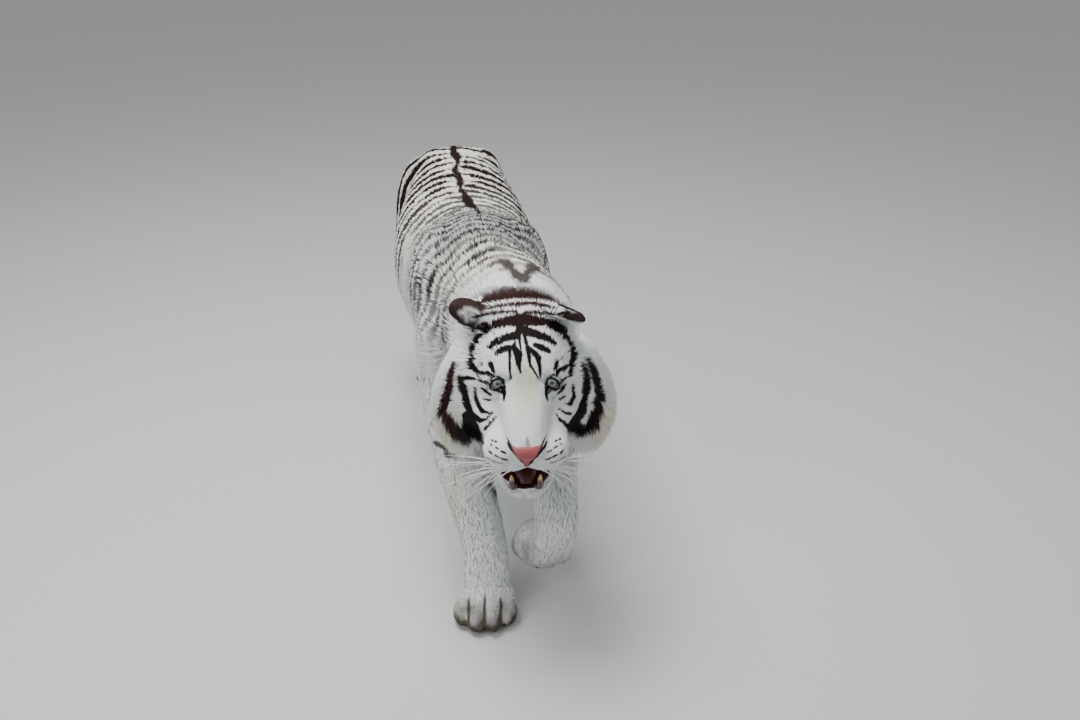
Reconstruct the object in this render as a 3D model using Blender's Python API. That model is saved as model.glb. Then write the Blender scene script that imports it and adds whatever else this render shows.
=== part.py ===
"""A life-size white tiger, walking with its left forepaw lifted.

Metres, +Z up. The tiger faces -Y and its left side is +X. The origin is on the
ground, midway along and across the whole animal. The body is modelled whole,
out to the tips of the coat, and is then parted with thin cuts.
"""

import math
from dataclasses import dataclass

import bmesh
import bpy
import numpy as np
from mathutils import Matrix, Vector
from mathutils.bvhtree import BVHTree

# Driving dimensions, in metres. Tables below are in the animal's own frame, with
# Y = 0 over the withers; the whole is centred on its own box at the end.
GAP = 0.0006
SLIT = 0.0004
MASS_VOXEL = 0.006
MASS_PASSES = 20
FINE_VOXEL = 0.0045
FINE_PASSES = 4
RING_POINTS = 28
STEPS_PER_SPAN = 5
EYE_RADIUS = 0.0205
EYE_SPACING = 0.1165
EYE_BACK = 0.0075
EYE_UP = 0.001
TOE_SPREAD = 0.054
FORE_PAW_SIZE = 1.04
HIND_PAW_SIZE = 0.86
EAR_LENGTH = 0.074
BODY_FACES = 1200
PAW_FACES = 800
HEAD_FACES = 1450

HEAD_AT = (0.044, -0.4265, 0.662)
HEAD_YAW = math.radians(-7.0)
HEAD_PITCH = math.radians(14.0)
JAW_GAPE = math.radians(17.0)


def clear_scene():
    """Removes the objects that Blender starts with."""
    for item in list(bpy.data.objects):
        bpy.data.objects.remove(item)


def frame_at(place, yaw=0.0, pitch=0.0, roll=0.0):
    """A local frame: X to the animal's left, Y backwards, Z up, then turned."""
    turn = Matrix.Rotation(yaw, 4, "Z") @ Matrix.Rotation(pitch, 4, "X") @ Matrix.Rotation(roll, 4, "Y")
    return Matrix.Translation(place) @ turn


WORLD = Matrix.Identity(4)
HEAD = frame_at(HEAD_AT, HEAD_YAW, HEAD_PITCH)


# --- shapes ---------------------------------------------------------------

def add_ball(bm, frame, centre, radii, turn=(0.0, 0.0, 0.0), segments=28, rings=18):
    """An ellipsoid at a place in a frame, turned by degrees about its own X, Y and Z."""
    turned = Matrix.Identity(4)
    for axis, angle in zip("XYZ", turn):
        turned = Matrix.Rotation(math.radians(angle), 4, axis) @ turned
    matrix = frame @ Matrix.Translation(centre) @ turned @ Matrix.Diagonal((*radii, 1.0))
    bmesh.ops.create_uvsphere(bm, u_segments=segments, v_segments=rings, radius=1.0, matrix=matrix)


def add_pair(bm, frame, centre, radii, turn=(0.0, 0.0, 0.0)):
    """The same ellipsoid on both sides of the frame's middle."""
    add_ball(bm, frame, centre, radii, turn)
    mirrored = (-centre[0], centre[1], centre[2])
    add_ball(bm, frame, mirrored, radii, (turn[0], -turn[1], -turn[2]))


def smooth_stations(stations, steps=STEPS_PER_SPAN):
    """More stations, on a smooth curve through the ones given."""
    rows = np.array(stations, float)
    padded = np.vstack([2 * rows[0] - rows[1], rows, 2 * rows[-1] - rows[-2]])
    made = []
    for index in range(len(rows) - 1):
        before, start, end, after = padded[index:index + 4]
        for step in range(steps):
            t = step / steps
            made.append(0.5 * (2 * start + (end - before) * t
                               + (2 * before - 5 * start + 4 * end - after) * t ** 2
                               + (3 * start - before - 3 * end + after) * t ** 3))
    made.append(rows[-1])
    return np.array(made)


def ring_profile(squareness, points=RING_POINTS):
    """A round or slightly squared closed outline of radius 1."""
    angles = np.linspace(0.0, 2.0 * math.pi, points, endpoint=False)
    power = 2.0 / squareness
    across, along = np.cos(angles), np.sin(angles)
    return np.stack([np.sign(across) * np.abs(across) ** power,
                     np.sign(along) * np.abs(along) ** power], 1)


def join_rings(bm, rings):
    """Skins a row of rings and closes both ends."""
    for first, second in zip(rings, rings[1:]):
        for index in range(len(first)):
            after = (index + 1) % len(first)
            bm.faces.new((first[index], first[after], second[after], second[index]))
    bm.faces.new(reversed(rings[0]))
    bm.faces.new(rings[-1])


def add_loft(bm, frame, stations, squareness=2.0, points=RING_POINTS, steps=STEPS_PER_SPAN):
    """A closed tube through stations (x, y, z, half width across X, half depth)."""
    rows = smooth_stations(stations, steps)
    profile = ring_profile(squareness, points)
    centres = rows[:, :3]
    tangents = np.gradient(centres, axis=0)
    rings = []
    for centre, tangent, (half_width, half_depth) in zip(centres, tangents, rows[:, 3:5]):
        along = Vector(tangent).normalized()
        side = (Vector((1, 0, 0)) - along * along.x).normalized()
        depth = along.cross(side)
        rings.append([bm.verts.new(frame @ (Vector(centre) + side * (half_width * u) + depth * (half_depth * v)))
                      for u, v in profile])
    join_rings(bm, rings)


def new_object(name, bm):
    """An object from a bmesh whose closed shells all face outwards."""
    bmesh.ops.recalc_face_normals(bm, faces=bm.faces)
    mesh = bpy.data.meshes.new(name)
    bm.to_mesh(mesh)
    bm.free()
    made = bpy.data.objects.new(name, mesh)
    bpy.context.collection.objects.link(made)
    return made


def settle(item):
    """Replaces an object's mesh with the result of its modifiers."""
    graph = bpy.context.evaluated_depsgraph_get()
    mesh = bpy.data.meshes.new_from_object(item.evaluated_get(graph))
    item.modifiers.clear()
    item.data = mesh


def cut_with(item, cutter, operation="DIFFERENCE"):
    """Applies one exact Boolean and removes the cutter."""
    boolean = item.modifiers.new("cut", "BOOLEAN")
    boolean.operation = operation
    boolean.object = cutter
    settle(item)
    bpy.data.objects.remove(cutter)


# --- trunk, neck and tail ---------------------------------------------------

def spine_bend(y):
    """How far the spine lies to the left: the hips swing a little that way."""
    return 0.018 * min(max((y - 0.45) / 0.40, 0.0), 1.0)


def add_trunk(bm):
    """Chest, belly and hindquarters, from stations (y, top, bottom, half width)."""
    profile = [(-0.185, 0.745, 0.580, 0.070), (-0.150, 0.800, 0.525, 0.110), (-0.070, 0.862, 0.470, 0.145),
               (0.030, 0.885, 0.440, 0.160), (0.150, 0.872, 0.425, 0.175), (0.300, 0.856, 0.410, 0.193),
               (0.450, 0.850, 0.400, 0.202), (0.600, 0.856, 0.430, 0.188), (0.720, 0.862, 0.480, 0.163),
               (0.830, 0.848, 0.520, 0.138), (0.930, 0.812, 0.560, 0.112), (0.995, 0.765, 0.610, 0.066)]
    add_loft(bm, WORLD, [(spine_bend(y), y, (top + bottom) / 2, half, (top - bottom) / 2)
                         for y, top, bottom, half in profile], squareness=2.15)
    add_ball(bm, WORLD, (0.0, -0.115, 0.545), (0.085, 0.095, 0.100))
    add_ball(bm, WORLD, (0.0, 0.010, 0.815), (0.095, 0.180, 0.075))
    add_ball(bm, WORLD, (0.078, 0.800, 0.775), (0.070, 0.130, 0.070), (-12, 0, 0))
    add_ball(bm, WORLD, (-0.046, 0.800, 0.775), (0.066, 0.130, 0.070), (-12, 0, 0))


def add_neck(bm):
    """The thick neck, which bends to the animal's left and then carries the head."""
    add_loft(bm, WORLD, [(0.000, 0.080, 0.665, 0.130, 0.205), (0.008, -0.050, 0.685, 0.142, 0.180),
                         (0.032, -0.150, 0.700, 0.146, 0.158), (0.054, -0.240, 0.690, 0.146, 0.140),
                         (0.056, -0.310, 0.660, 0.120, 0.122), (0.054, -0.350, 0.645, 0.085, 0.090)])


TAIL_STATIONS = [(0.018, 0.930, 0.735, 0.062, 0.062), (0.018, 1.010, 0.722, 0.048, 0.050),
                 (0.018, 1.085, 0.650, 0.040, 0.041), (0.018, 1.135, 0.545, 0.037, 0.038),
                 (0.018, 1.170, 0.425, 0.035, 0.036), (0.020, 1.215, 0.312, 0.034, 0.034),
                 (0.025, 1.290, 0.228, 0.033, 0.033), (0.031, 1.375, 0.205, 0.031, 0.031),
                 (0.036, 1.445, 0.238, 0.028, 0.028), (0.038, 1.482, 0.280, 0.014, 0.014)]


# --- legs -------------------------------------------------------------------

def add_paw(bm, frame, size):
    """A broad paw with four round toes; its sole is the frame's XY plane."""
    add_ball(bm, frame, (0, 0.006 * size, 0.040 * size), (0.064 * size, 0.074 * size, 0.042 * size))
    add_ball(bm, frame, (0, -0.015 * size, 0.052 * size), (0.058 * size, 0.052 * size, 0.036 * size))
    for lateral, forward in ((-1.0, 0.034), (-0.36, 0.058), (0.36, 0.058), (1.0, 0.034)):
        across = lateral * TOE_SPREAD * size
        add_ball(bm, frame, (across, -(forward + 0.006) * size, 0.027 * size),
                 (0.0215 * size, 0.036 * size, 0.028 * size), (0, 0, -8 * lateral))
        add_ball(bm, frame, (across * 0.93, -(forward - 0.022) * size, 0.047 * size),
                 (0.0195 * size, 0.030 * size, 0.022 * size), (14, 0, -8 * lateral))


FORE_RIGHT_LEG = [(-0.112, -0.020, 0.600, 0.055, 0.084), (-0.106, -0.082, 0.500, 0.064, 0.074),
                  (-0.094, -0.140, 0.420, 0.067, 0.072), (-0.077, -0.190, 0.330, 0.067, 0.063),
                  (-0.057, -0.240, 0.245, 0.062, 0.055), (-0.041, -0.280, 0.175, 0.057, 0.050),
                  (-0.038, -0.305, 0.115, 0.058, 0.052), (-0.041, -0.318, 0.060, 0.061, 0.060)]
FORE_LEFT_LEG = [(0.122, -0.010, 0.610, 0.055, 0.088), (0.134, -0.070, 0.510, 0.062, 0.080),
                 (0.142, -0.125, 0.440, 0.064, 0.070), (0.144, -0.195, 0.370, 0.062, 0.061),
                 (0.140, -0.265, 0.305, 0.058, 0.055), (0.134, -0.325, 0.250, 0.055, 0.049),
                 (0.130, -0.340, 0.215, 0.054, 0.046), (0.122, -0.325, 0.172, 0.052, 0.044)]
HIND_LEFT_LEG = [(0.098, 0.790, 0.690, 0.070, 0.130), (0.118, 0.710, 0.580, 0.070, 0.135),
                 (0.130, 0.630, 0.485, 0.060, 0.095), (0.128, 0.618, 0.415, 0.052, 0.070),
                 (0.124, 0.660, 0.345, 0.044, 0.056), (0.118, 0.712, 0.275, 0.036, 0.044),
                 (0.114, 0.730, 0.220, 0.034, 0.042), (0.110, 0.690, 0.150, 0.035, 0.036),
                 (0.104, 0.635, 0.085, 0.040, 0.038), (0.100, 0.600, 0.050, 0.044, 0.040)]
HIND_RIGHT_LEG = [(-0.098, 0.820, 0.680, 0.070, 0.130), (-0.116, 0.805, 0.560, 0.070, 0.135),
                  (-0.128, 0.775, 0.455, 0.060, 0.095), (-0.124, 0.800, 0.385, 0.052, 0.070),
                  (-0.112, 0.872, 0.330, 0.044, 0.055), (-0.100, 0.960, 0.280, 0.036, 0.043),
                  (-0.092, 1.015, 0.232, 0.034, 0.042), (-0.086, 1.010, 0.160, 0.035, 0.036),
                  (-0.080, 0.985, 0.090, 0.040, 0.038), (-0.076, 0.960, 0.050, 0.044, 0.040)]

PAW_FRAMES = {
    "fore_right": frame_at((-0.044, -0.345, 0.0), math.radians(-9)),
    "fore_left": frame_at((0.115, -0.250, 0.157), math.radians(-12), math.radians(108), math.radians(-10)),
    "hind_left": frame_at((0.100, 0.560, 0.0), math.radians(-3)),
    "hind_right": frame_at((-0.075, 0.925, 0.0), math.radians(-3)),
}


def add_legs(bm):
    """Four legs, the shoulder and thigh muscles, and the paws."""
    for stations in (FORE_RIGHT_LEG, FORE_LEFT_LEG, HIND_LEFT_LEG, HIND_RIGHT_LEG):
        add_loft(bm, WORLD, stations)
    for side, shift in ((-1, 0.0), (1, 0.015)):
        add_ball(bm, WORLD, (side * 0.100, 0.025 + shift, 0.705), (0.078, 0.135, 0.165), (-14, 0, 0))
        add_ball(bm, WORLD, (side * 0.108, -0.060 + shift, 0.600), (0.068, 0.108, 0.140), (10, 0, 0))
        add_ball(bm, WORLD, (side * 0.116, 0.000 + shift, 0.520), (0.056, 0.082, 0.105), (24, 0, 0))
    add_ball(bm, WORLD, (-0.112, -0.072, 0.438), (0.040, 0.042, 0.052))
    add_ball(bm, WORLD, (0.142, -0.050, 0.455), (0.038, 0.042, 0.050))
    add_ball(bm, WORLD, (0.102, 0.775, 0.635), (0.076, 0.140, 0.185), (-12, 0, 0))
    add_ball(bm, WORLD, (-0.102, 0.835, 0.625), (0.076, 0.140, 0.185), (6, 0, 0))
    add_ball(bm, WORLD, (0.126, 0.610, 0.455), (0.050, 0.060, 0.065))
    add_ball(bm, WORLD, (-0.126, 0.755, 0.430), (0.050, 0.060, 0.065))
    add_ball(bm, WORLD, (0.114, 0.762, 0.242), (0.020, 0.022, 0.034), (-20, 0, 0))
    add_ball(bm, WORLD, (-0.092, 1.050, 0.262), (0.020, 0.022, 0.034), (-40, 0, 0))


# --- head -------------------------------------------------------------------

RUFF_STATIONS = [(0.104, 0.138, 0.002, 0.034, 0.037), (0.119, 0.136, -0.030, 0.048, 0.048),
                 (0.138, 0.122, -0.080, 0.056, 0.052), (0.151, 0.106, -0.142, 0.060, 0.050),
                 (0.147, 0.094, -0.194, 0.058, 0.046), (0.130, 0.084, -0.232, 0.049, 0.037),
                 (0.106, 0.078, -0.252, 0.033, 0.023)]


def add_head_masses(bm):
    """Skull, cheeks, throat and the ruff that hangs from ear to jaw."""
    profile = [(0.245, 0.030, -0.100, 0.055), (0.205, 0.070, -0.125, 0.088), (0.150, 0.090, -0.135, 0.108),
               (0.100, 0.089, -0.130, 0.114), (0.060, 0.077, -0.124, 0.108), (0.030, 0.060, -0.118, 0.093),
               (0.005, 0.040, -0.112, 0.076), (-0.020, 0.018, -0.102, 0.061), (-0.050, -0.002, -0.096, 0.052),
               (-0.085, -0.022, -0.098, 0.047), (-0.115, -0.040, -0.102, 0.040), (-0.134, -0.056, -0.104, 0.030)]
    add_loft(bm, HEAD, [(0, y, (top + bottom) / 2, half, (top - bottom) / 2)
                        for y, top, bottom, half in profile], squareness=2.3)
    add_ball(bm, HEAD, (0, -0.030, -0.094), (0.082, 0.105, 0.044))
    add_pair(bm, HEAD, (0.054, 0.034, -0.080), (0.060, 0.086, 0.050), (0, 8, 12))
    add_pair(bm, HEAD, (0.074, 0.086, -0.040), (0.060, 0.078, 0.064), (0, 0, 14))
    add_pair(bm, HEAD, (0.084, 0.092, -0.100), (0.076, 0.090, 0.086))
    add_pair(bm, HEAD, (0.112, 0.108, -0.085), (0.064, 0.070, 0.105))
    add_pair(bm, HEAD, (0.104, 0.106, -0.150), (0.072, 0.060, 0.084))
    add_pair(bm, HEAD, (0.052, 0.045, -0.152), (0.038, 0.052, 0.040))
    for side in (-1, 1):
        add_loft(bm, HEAD, [(side * x, y, z, half, deep) for x, y, z, half, deep in RUFF_STATIONS])
    add_ball(bm, HEAD, (0, 0.115, -0.155), (0.110, 0.105, 0.078))


def add_face(bm):
    """The features that stay crisp: brows, whisker pads, nose, lips, jaw and chin."""
    add_pair(bm, HEAD, (0.046, 0.028, 0.024), (0.040, 0.034, 0.020), (0, 16, -14))
    add_pair(bm, HEAD, (0.044, -0.080, -0.101), (0.048, 0.062, 0.037), (0, 0, 12))
    add_pair(bm, HEAD, (0.058, -0.018, -0.088), (0.040, 0.052, 0.042), (0, 0, 12))
    add_pair(bm, HEAD, (0.022, -0.116, -0.112), (0.028, 0.022, 0.025))
    add_loft(bm, HEAD, [(0, -0.080, -0.050, 0.040, 0.030), (0, -0.110, -0.064, 0.036, 0.026),
                        (0, -0.134, -0.078, 0.034, 0.022), (0, -0.142, -0.084, 0.022, 0.014)], squareness=2.6)
    jaw = HEAD @ Matrix.Translation((0, 0.125, -0.120)) @ Matrix.Rotation(JAW_GAPE, 4, "X")
    add_loft(bm, jaw, [(0, 0.000, -0.030, 0.088, 0.050), (0, -0.075, -0.034, 0.080, 0.042),
                       (0, -0.150, -0.038, 0.068, 0.034), (0, -0.210, -0.040, 0.058, 0.028),
                       (0, -0.245, -0.040, 0.042, 0.020)])
    add_ball(bm, jaw, (0, -0.222, -0.050), (0.044, 0.030, 0.022))


@dataclass(frozen=True)
class Ear:
    """A rounded, cupped ear: where it starts, where it points, where its back faces and is cut."""

    name: str
    base: tuple
    axis: tuple
    back: tuple
    cut_height: float


EARS = (Ear("ear_right", (-0.094, 0.124, 0.083), (-0.87, 0.34, 0.30), (-0.10, -0.50, 0.86), 0.54),
        Ear("ear_left", (0.068, 0.114, 0.106), (0.86, 0.18, -0.40), (0.40, 0.38, 0.83), 0.68))
EAR_STATIONS = ((-0.32, 0.026, 0.013, 0.008), (-0.10, 0.033, 0.012, 0.014),
                (0.15, 0.036, 0.011, 0.015), (0.45, 0.036, 0.009, 0.013),
                (0.72, 0.031, 0.008, 0.009), (0.90, 0.021, 0.007, 0.005), (1.00, 0.010, 0.005, 0.001))


def ear_frame(ear):
    """X across the ear, Y towards its back, Z from its base to its tip."""
    up = Vector(ear.axis).normalized()
    back = Vector(ear.back)
    back = (back - up * back.dot(up)).normalized()
    across = back.cross(up)
    turned = Matrix((across, back, up)).transposed().to_4x4()
    return HEAD @ Matrix.Translation(ear.base) @ turned


def add_ear(bm, ear):
    """Rings of crescent section (height, half width, half thickness, cupping)."""
    frame = ear_frame(ear)
    profile = ring_profile(2.0)
    rings = []
    for height, half, thick, cup in smooth_stations(EAR_STATIONS):
        rings.append([bm.verts.new(frame @ Vector((half * u, thick * v + cup * (0.5 - u * u), height * EAR_LENGTH)))
                      for u, v in profile])
    join_rings(bm, rings)


MOUTH_STATIONS = [(0, 0.042, -0.136, 0.018, 0.005), (0, 0.018, -0.140, 0.030, 0.013),
                  (0, -0.020, -0.149, 0.040, 0.023), (0, -0.060, -0.160, 0.045, 0.034),
                  (0, -0.100, -0.171, 0.047, 0.043), (0, -0.150, -0.178, 0.047, 0.050)]
TONGUE_STATIONS = [(0, 0.020, -0.156, 0.020, 0.006), (0, -0.010, -0.168, 0.026, 0.009),
                   (0, -0.045, -0.186, 0.028, 0.010), (0, -0.075, -0.202, 0.024, 0.009),
                   (0, -0.092, -0.211, 0.012, 0.005)]


@dataclass(frozen=True)
class Tooth:
    """A canine: where its root is, where its point is and how wide it is at the gum."""

    name: str
    root: tuple
    point: tuple
    radius: float


TEETH = (Tooth("canine_lower_left", (0.029, -0.092, -0.224), (0.032, -0.097, -0.177), 0.0092),
         Tooth("canine_lower_right", (-0.029, -0.092, -0.224), (-0.032, -0.097, -0.177), 0.0092),
         Tooth("canine_upper_left", (0.037, -0.094, -0.108), (0.038, -0.086, -0.160), 0.0095),
         Tooth("canine_upper_right", (-0.037, -0.094, -0.108), (-0.038, -0.086, -0.160), 0.0095))


def tooth_mesh(tooth, extra):
    """A slim, blunt cone from root to point, grown all round by a little extra."""
    bm = bmesh.new()
    root, point = Vector(tooth.root), Vector(tooth.point)
    along = (point - root).normalized()
    turned = along.to_track_quat("Z", "Y").to_matrix().to_4x4()
    length = (point - root).length
    rings = []
    for height, width in ((-extra, 1.0), (0.35 * length, 0.92), (0.72 * length, 0.62), (length + extra, 0.20)):
        radius = tooth.radius * width + extra
        rings.append([bm.verts.new(HEAD @ Matrix.Translation(root) @ turned
                                   @ Vector((radius * math.cos(a), radius * math.sin(a), height)))
                      for a in np.linspace(0, 2 * math.pi, 7, endpoint=False)])
    join_rings(bm, rings)
    return bm


def tongue_mesh(extra):
    """The tongue lying between the lower teeth, grown by a little extra."""
    bm = bmesh.new()
    add_loft(bm, HEAD, [(x, y, z, half + extra, deep + extra) for x, y, z, half, deep in TONGUE_STATIONS],
             points=12, steps=2)
    return bm


def eye_mesh(side, extra):
    """One eyeball, grown by a little extra, with its pole looking forward."""
    bm = bmesh.new()
    middle = Matrix.Translation((side * EYE_SPACING / 2, EYE_BACK, EYE_UP))
    matrix = HEAD @ middle @ Matrix.Rotation(math.radians(90), 4, "X")
    bmesh.ops.create_uvsphere(bm, u_segments=12, v_segments=8, radius=EYE_RADIUS + extra, matrix=matrix)
    return bm


# --- the body as one, parted --------------------------------------------------

@dataclass(frozen=True)
class Cut:
    """A thin slab that parts two pieces: its middle, its normal and its half sizes."""

    middle: tuple
    normal: tuple
    half_across: float
    half_along: float
    frame: Matrix = WORLD


CUTS = (
    Cut((0, 0.1833, -0.0307), (0, 0.978, -0.208), 0.240, 0.208, HEAD),
    Cut((0.010, -0.1330, 0.7000), (0, 0.919, -0.394), 0.215, 0.252),
    Cut((0.0, 0.290, 0.630), (0, 1, 0), 0.300, 0.300),
    Cut((0.0, 0.500, 0.630), (0, 1, 0), 0.300, 0.300),
    Cut((-0.096, -0.125, 0.430), (0, 0.49, 0.87), 0.085, 0.120),
    Cut((0.142, -0.125, 0.432), (0, 0.60, 0.80), 0.080, 0.120),
    Cut((-0.040, -0.312, 0.100), (0, 0.20, 0.98), 0.074, 0.085),
    Cut((0.122, -0.330, 0.208), (0, 0, 1), 0.085, 0.090),
    Cut((0.128, 0.630, 0.412), (0, 0, 1), 0.075, 0.120),
    Cut((-0.125, 0.800, 0.412), (0, 0, 1), 0.075, 0.120),
    Cut((0.114, 0.725, 0.185), (0, 0, 1), 0.060, 0.080),
    Cut((-0.090, 1.015, 0.190), (0, 0, 1), 0.060, 0.080),
    Cut((0.018, 1.072, 0.665), (0, 0.62, -0.78), 0.070, 0.066),
    Cut((0.018, 1.152, 0.490), (0, 0.25, -0.97), 0.060, 0.070),
    Cut((0.022, 1.250, 0.262), (0, 0.75, -0.66), 0.060, 0.060),
    Cut((0, -0.0650, -0.150), (0, 0, 1), 0.170, 0.0960, HEAD),
    Cut((0, 0.0307, -0.2350), (0, 1, 0), 0.170, 0.0852, HEAD),
)

# A point inside each piece, in the animal's own frame or in the head's.
SEEDS = (
    ("head", HEAD, (0, 0.100, 0.030)), ("jaw", HEAD, (0, -0.040, -0.215)),
    ("ear_right", HEAD, (-0.1435, 0.141, 0.104)), ("ear_left", HEAD, (0.126, 0.128, 0.084)),
    ("neck", WORLD, (0.030, -0.180, 0.720)), ("chest", WORLD, (0, 0.140, 0.650)),
    ("belly", WORLD, (0, 0.400, 0.630)), ("hindquarters", WORLD, (0.010, 0.760, 0.680)),
    ("fore_leg_right", WORLD, (-0.070, -0.215, 0.290)), ("fore_leg_left", WORLD, (0.142, -0.220, 0.340)),
    ("fore_paw_right", WORLD, (-0.042, -0.345, 0.045)), ("fore_paw_left", WORLD, (0.110, -0.290, 0.140)),
    ("hind_leg_left", WORLD, (0.122, 0.670, 0.330)), ("hind_leg_right", WORLD, (-0.112, 0.870, 0.330)),
    ("hind_foot_left", WORLD, (0.102, 0.600, 0.070)), ("hind_foot_right", WORLD, (-0.078, 0.960, 0.070)),
    ("tail_base", WORLD, (0.018, 1.110, 0.600)), ("tail_middle", WORLD, (0.019, 1.195, 0.370)),
    ("tail_tip", WORLD, (0.033, 1.400, 0.215)),
)

# Colour, roughness and metallic of each finish.
FINISHES = {
    "coat": ((0.86, 0.84, 0.78), 0.90, 0.0),
    "dark_coat": ((0.10, 0.07, 0.06), 0.90, 0.0),
    "eye": ((0.36, 0.45, 0.42), 0.12, 0.0),
    "tooth": ((0.82, 0.72, 0.46), 0.35, 0.0),
    "tongue": ((0.42, 0.10, 0.10), 0.50, 0.0),
}


def slab_matrix(cut):
    """The turn and size of a cut's slab; its first half size runs across X as nearly as it can."""
    normal = Vector(cut.normal).normalized()
    hint = Vector((1, 0, 0)) if abs(normal.x) < 0.9 else Vector((0, 1, 0))
    across = (hint - normal * hint.dot(normal)).normalized()
    along = normal.cross(across)
    turned = Matrix((across, along, normal)).transposed().to_4x4()
    size = Matrix.Diagonal((cut.half_across * 2, cut.half_along * 2, GAP, 1.0))
    return cut.frame @ Matrix.Translation(cut.middle) @ turned @ size


def ear_cut(ear):
    """The slab that parts an ear from the head."""
    size = Matrix.Diagonal((0.096, 0.062, GAP, 1.0))
    return ear_frame(ear) @ Matrix.Translation((0, 0, ear.cut_height * EAR_LENGTH)) @ size


def near_head(points, margin=0.0):
    """Which points belong to the head, ears, ruff and jaw."""
    local = np.array(HEAD.inverted().to_3x3()) @ points.T
    local = local.T + np.array(HEAD.inverted().translation)
    return ((local[:, 1] < 0.205 + margin) & (np.abs(local[:, 0]) < 0.24)
            & (local[:, 2] > -0.29) & (local[:, 2] < 0.16))


def near_paws(points, margin=0.0):
    """Which points belong to the four paws."""
    found = np.zeros(len(points), bool)
    for frame in PAW_FRAMES.values():
        middle = np.array(frame @ Vector((0, -0.015, 0.035)))
        found |= np.linalg.norm(points - middle, axis=1) < 0.105 + margin
    return found


def remesh(item, voxel, passes):
    """Fuses an object's overlapping shells into one skin and smooths it."""
    whole = item.modifiers.new("whole", "REMESH")
    whole.mode = "VOXEL"
    whole.voxel_size = voxel
    smooth = item.modifiers.new("smooth", "SMOOTH")
    smooth.factor = 0.5
    smooth.iterations = passes
    settle(item)


def simplify(item, chosen, wanted):
    """Collapses the faces of one region to about the number wanted."""
    mesh = item.data
    points = np.array([v.co for v in mesh.vertices])
    inside = chosen(points)
    item.vertex_groups.clear()
    group = item.vertex_groups.new(name="region")
    group.add(np.nonzero(inside)[0].tolist(), 1.0, "REPLACE")
    sizes = [(len(face.vertices) - 2, all(inside[i] for i in face.vertices)) for face in mesh.polygons]
    total = sum(size for size, _ in sizes)
    region = sum(size for size, within in sizes if within)
    collapse = item.modifiers.new("simplify", "DECIMATE")
    collapse.decimate_type = "COLLAPSE"
    collapse.ratio = (total - region + wanted) / total
    collapse.use_collapse_triangulate = True
    collapse.vertex_group = "region"
    collapse.vertex_group_factor = 1000.0
    settle(item)


def make_body():
    """The whole animal as one smooth closed surface."""
    bm = bmesh.new()
    add_trunk(bm)
    add_neck(bm)
    add_loft(bm, WORLD, TAIL_STATIONS)
    add_legs(bm)
    add_head_masses(bm)
    masses = new_object("masses", bm)
    remesh(masses, MASS_VOXEL, MASS_PASSES)
    bm = bmesh.new()
    for name, frame in PAW_FRAMES.items():
        add_paw(bm, frame, FORE_PAW_SIZE if name.startswith("fore") else HIND_PAW_SIZE)
    add_face(bm)
    for ear in EARS:
        add_ear(bm, ear)
    features = new_object("features", bm)
    bm = bmesh.new()
    for item in (masses, features):
        bm.from_mesh(item.data)
        bpy.data.objects.remove(item)
    body = new_object("body", bm)
    remesh(body, FINE_VOXEL, FINE_PASSES)
    return body


def cutter_box(matrix):
    """A box cutter of unit size placed by a matrix."""
    bm = bmesh.new()
    bmesh.ops.create_cube(bm, size=1.0, matrix=matrix)
    return new_object("cutter", bm)


def part_body(body):
    """Hollows the mouth and sockets, flattens the soles and parts the body."""
    bm = bmesh.new()
    add_loft(bm, HEAD, MOUTH_STATIONS, points=14, steps=1)
    cut_with(body, new_object("mouth_cutter", bm))
    cut_with(body, cutter_box(Matrix.Translation((0, 0.5, -0.25)) @ Matrix.Diagonal((2.0, 3.0, 0.5, 1.0))))
    cut_with(body, new_object("tongue_cutter", tongue_mesh(SLIT)))
    for side in (-1, 1):
        cut_with(body, new_object("eye_cutter", eye_mesh(side, SLIT)))
        bm = bmesh.new()
        add_ball(bm, HEAD, (side * 0.059, -0.014, 0.002), (0.0180, 0.022, 0.0125), (0, -14 * side, 0), 12, 8)
        cut_with(body, new_object("lid_cutter", bm))
    for tooth in TEETH:
        cut_with(body, new_object("tooth_cutter", tooth_mesh(tooth, SLIT)))
    for cut in CUTS:
        cut_with(body, cutter_box(slab_matrix(cut)))
    for ear in EARS:
        cut_with(body, cutter_box(ear_cut(ear)))


def loose_parts(item):
    """Splits an object into one bmesh for each closed shell."""
    whole = bmesh.new()
    whole.from_mesh(item.data)
    whole.verts.ensure_lookup_table()
    seen = set()
    shells = []
    for start in whole.verts:
        if start.index in seen:
            continue
        stack, members = [start], set()
        while stack:
            vert = stack.pop()
            if vert.index in members:
                continue
            members.add(vert.index)
            stack.extend(edge.other_vert(vert) for edge in vert.link_edges)
        seen |= members
        shells.append(members)
    parts = []
    for members in shells:
        copy = whole.copy()
        copy.verts.ensure_lookup_table()
        bmesh.ops.delete(copy, geom=[v for v in copy.verts if v.index not in members], context="VERTS")
        parts.append(copy)
    whole.free()
    return parts


def finish_of(name):
    """Which finish a piece wears, from its name."""
    for word in ("eye", "tongue"):
        if name.startswith(word):
            return word
    if name.startswith("canine"):
        return "tooth"
    return "dark_coat" if name.startswith("ear") else "coat"


def material_for(name):
    """A material of a piece's own, in the finish it wears."""
    colour, roughness, metallic = FINISHES[finish_of(name)]
    material = bpy.data.materials.new(name)
    material.use_nodes = True
    shader = material.node_tree.nodes["Principled BSDF"]
    shader.inputs["Base Color"].default_value = (*colour, 1.0)
    shader.inputs["Roughness"].default_value = roughness
    shader.inputs["Metallic"].default_value = metallic
    return material


def holds(shell, tree, point):
    """Whether a point lies inside a closed shell."""
    for axis in range(3):
        reach = [vert.co[axis] for vert in shell.verts]
        if not min(reach) < point[axis] < max(reach):
            return False
    place, normal, _, _ = tree.find_nearest(point)
    return (place - point).dot(normal) > 0.0


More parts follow.
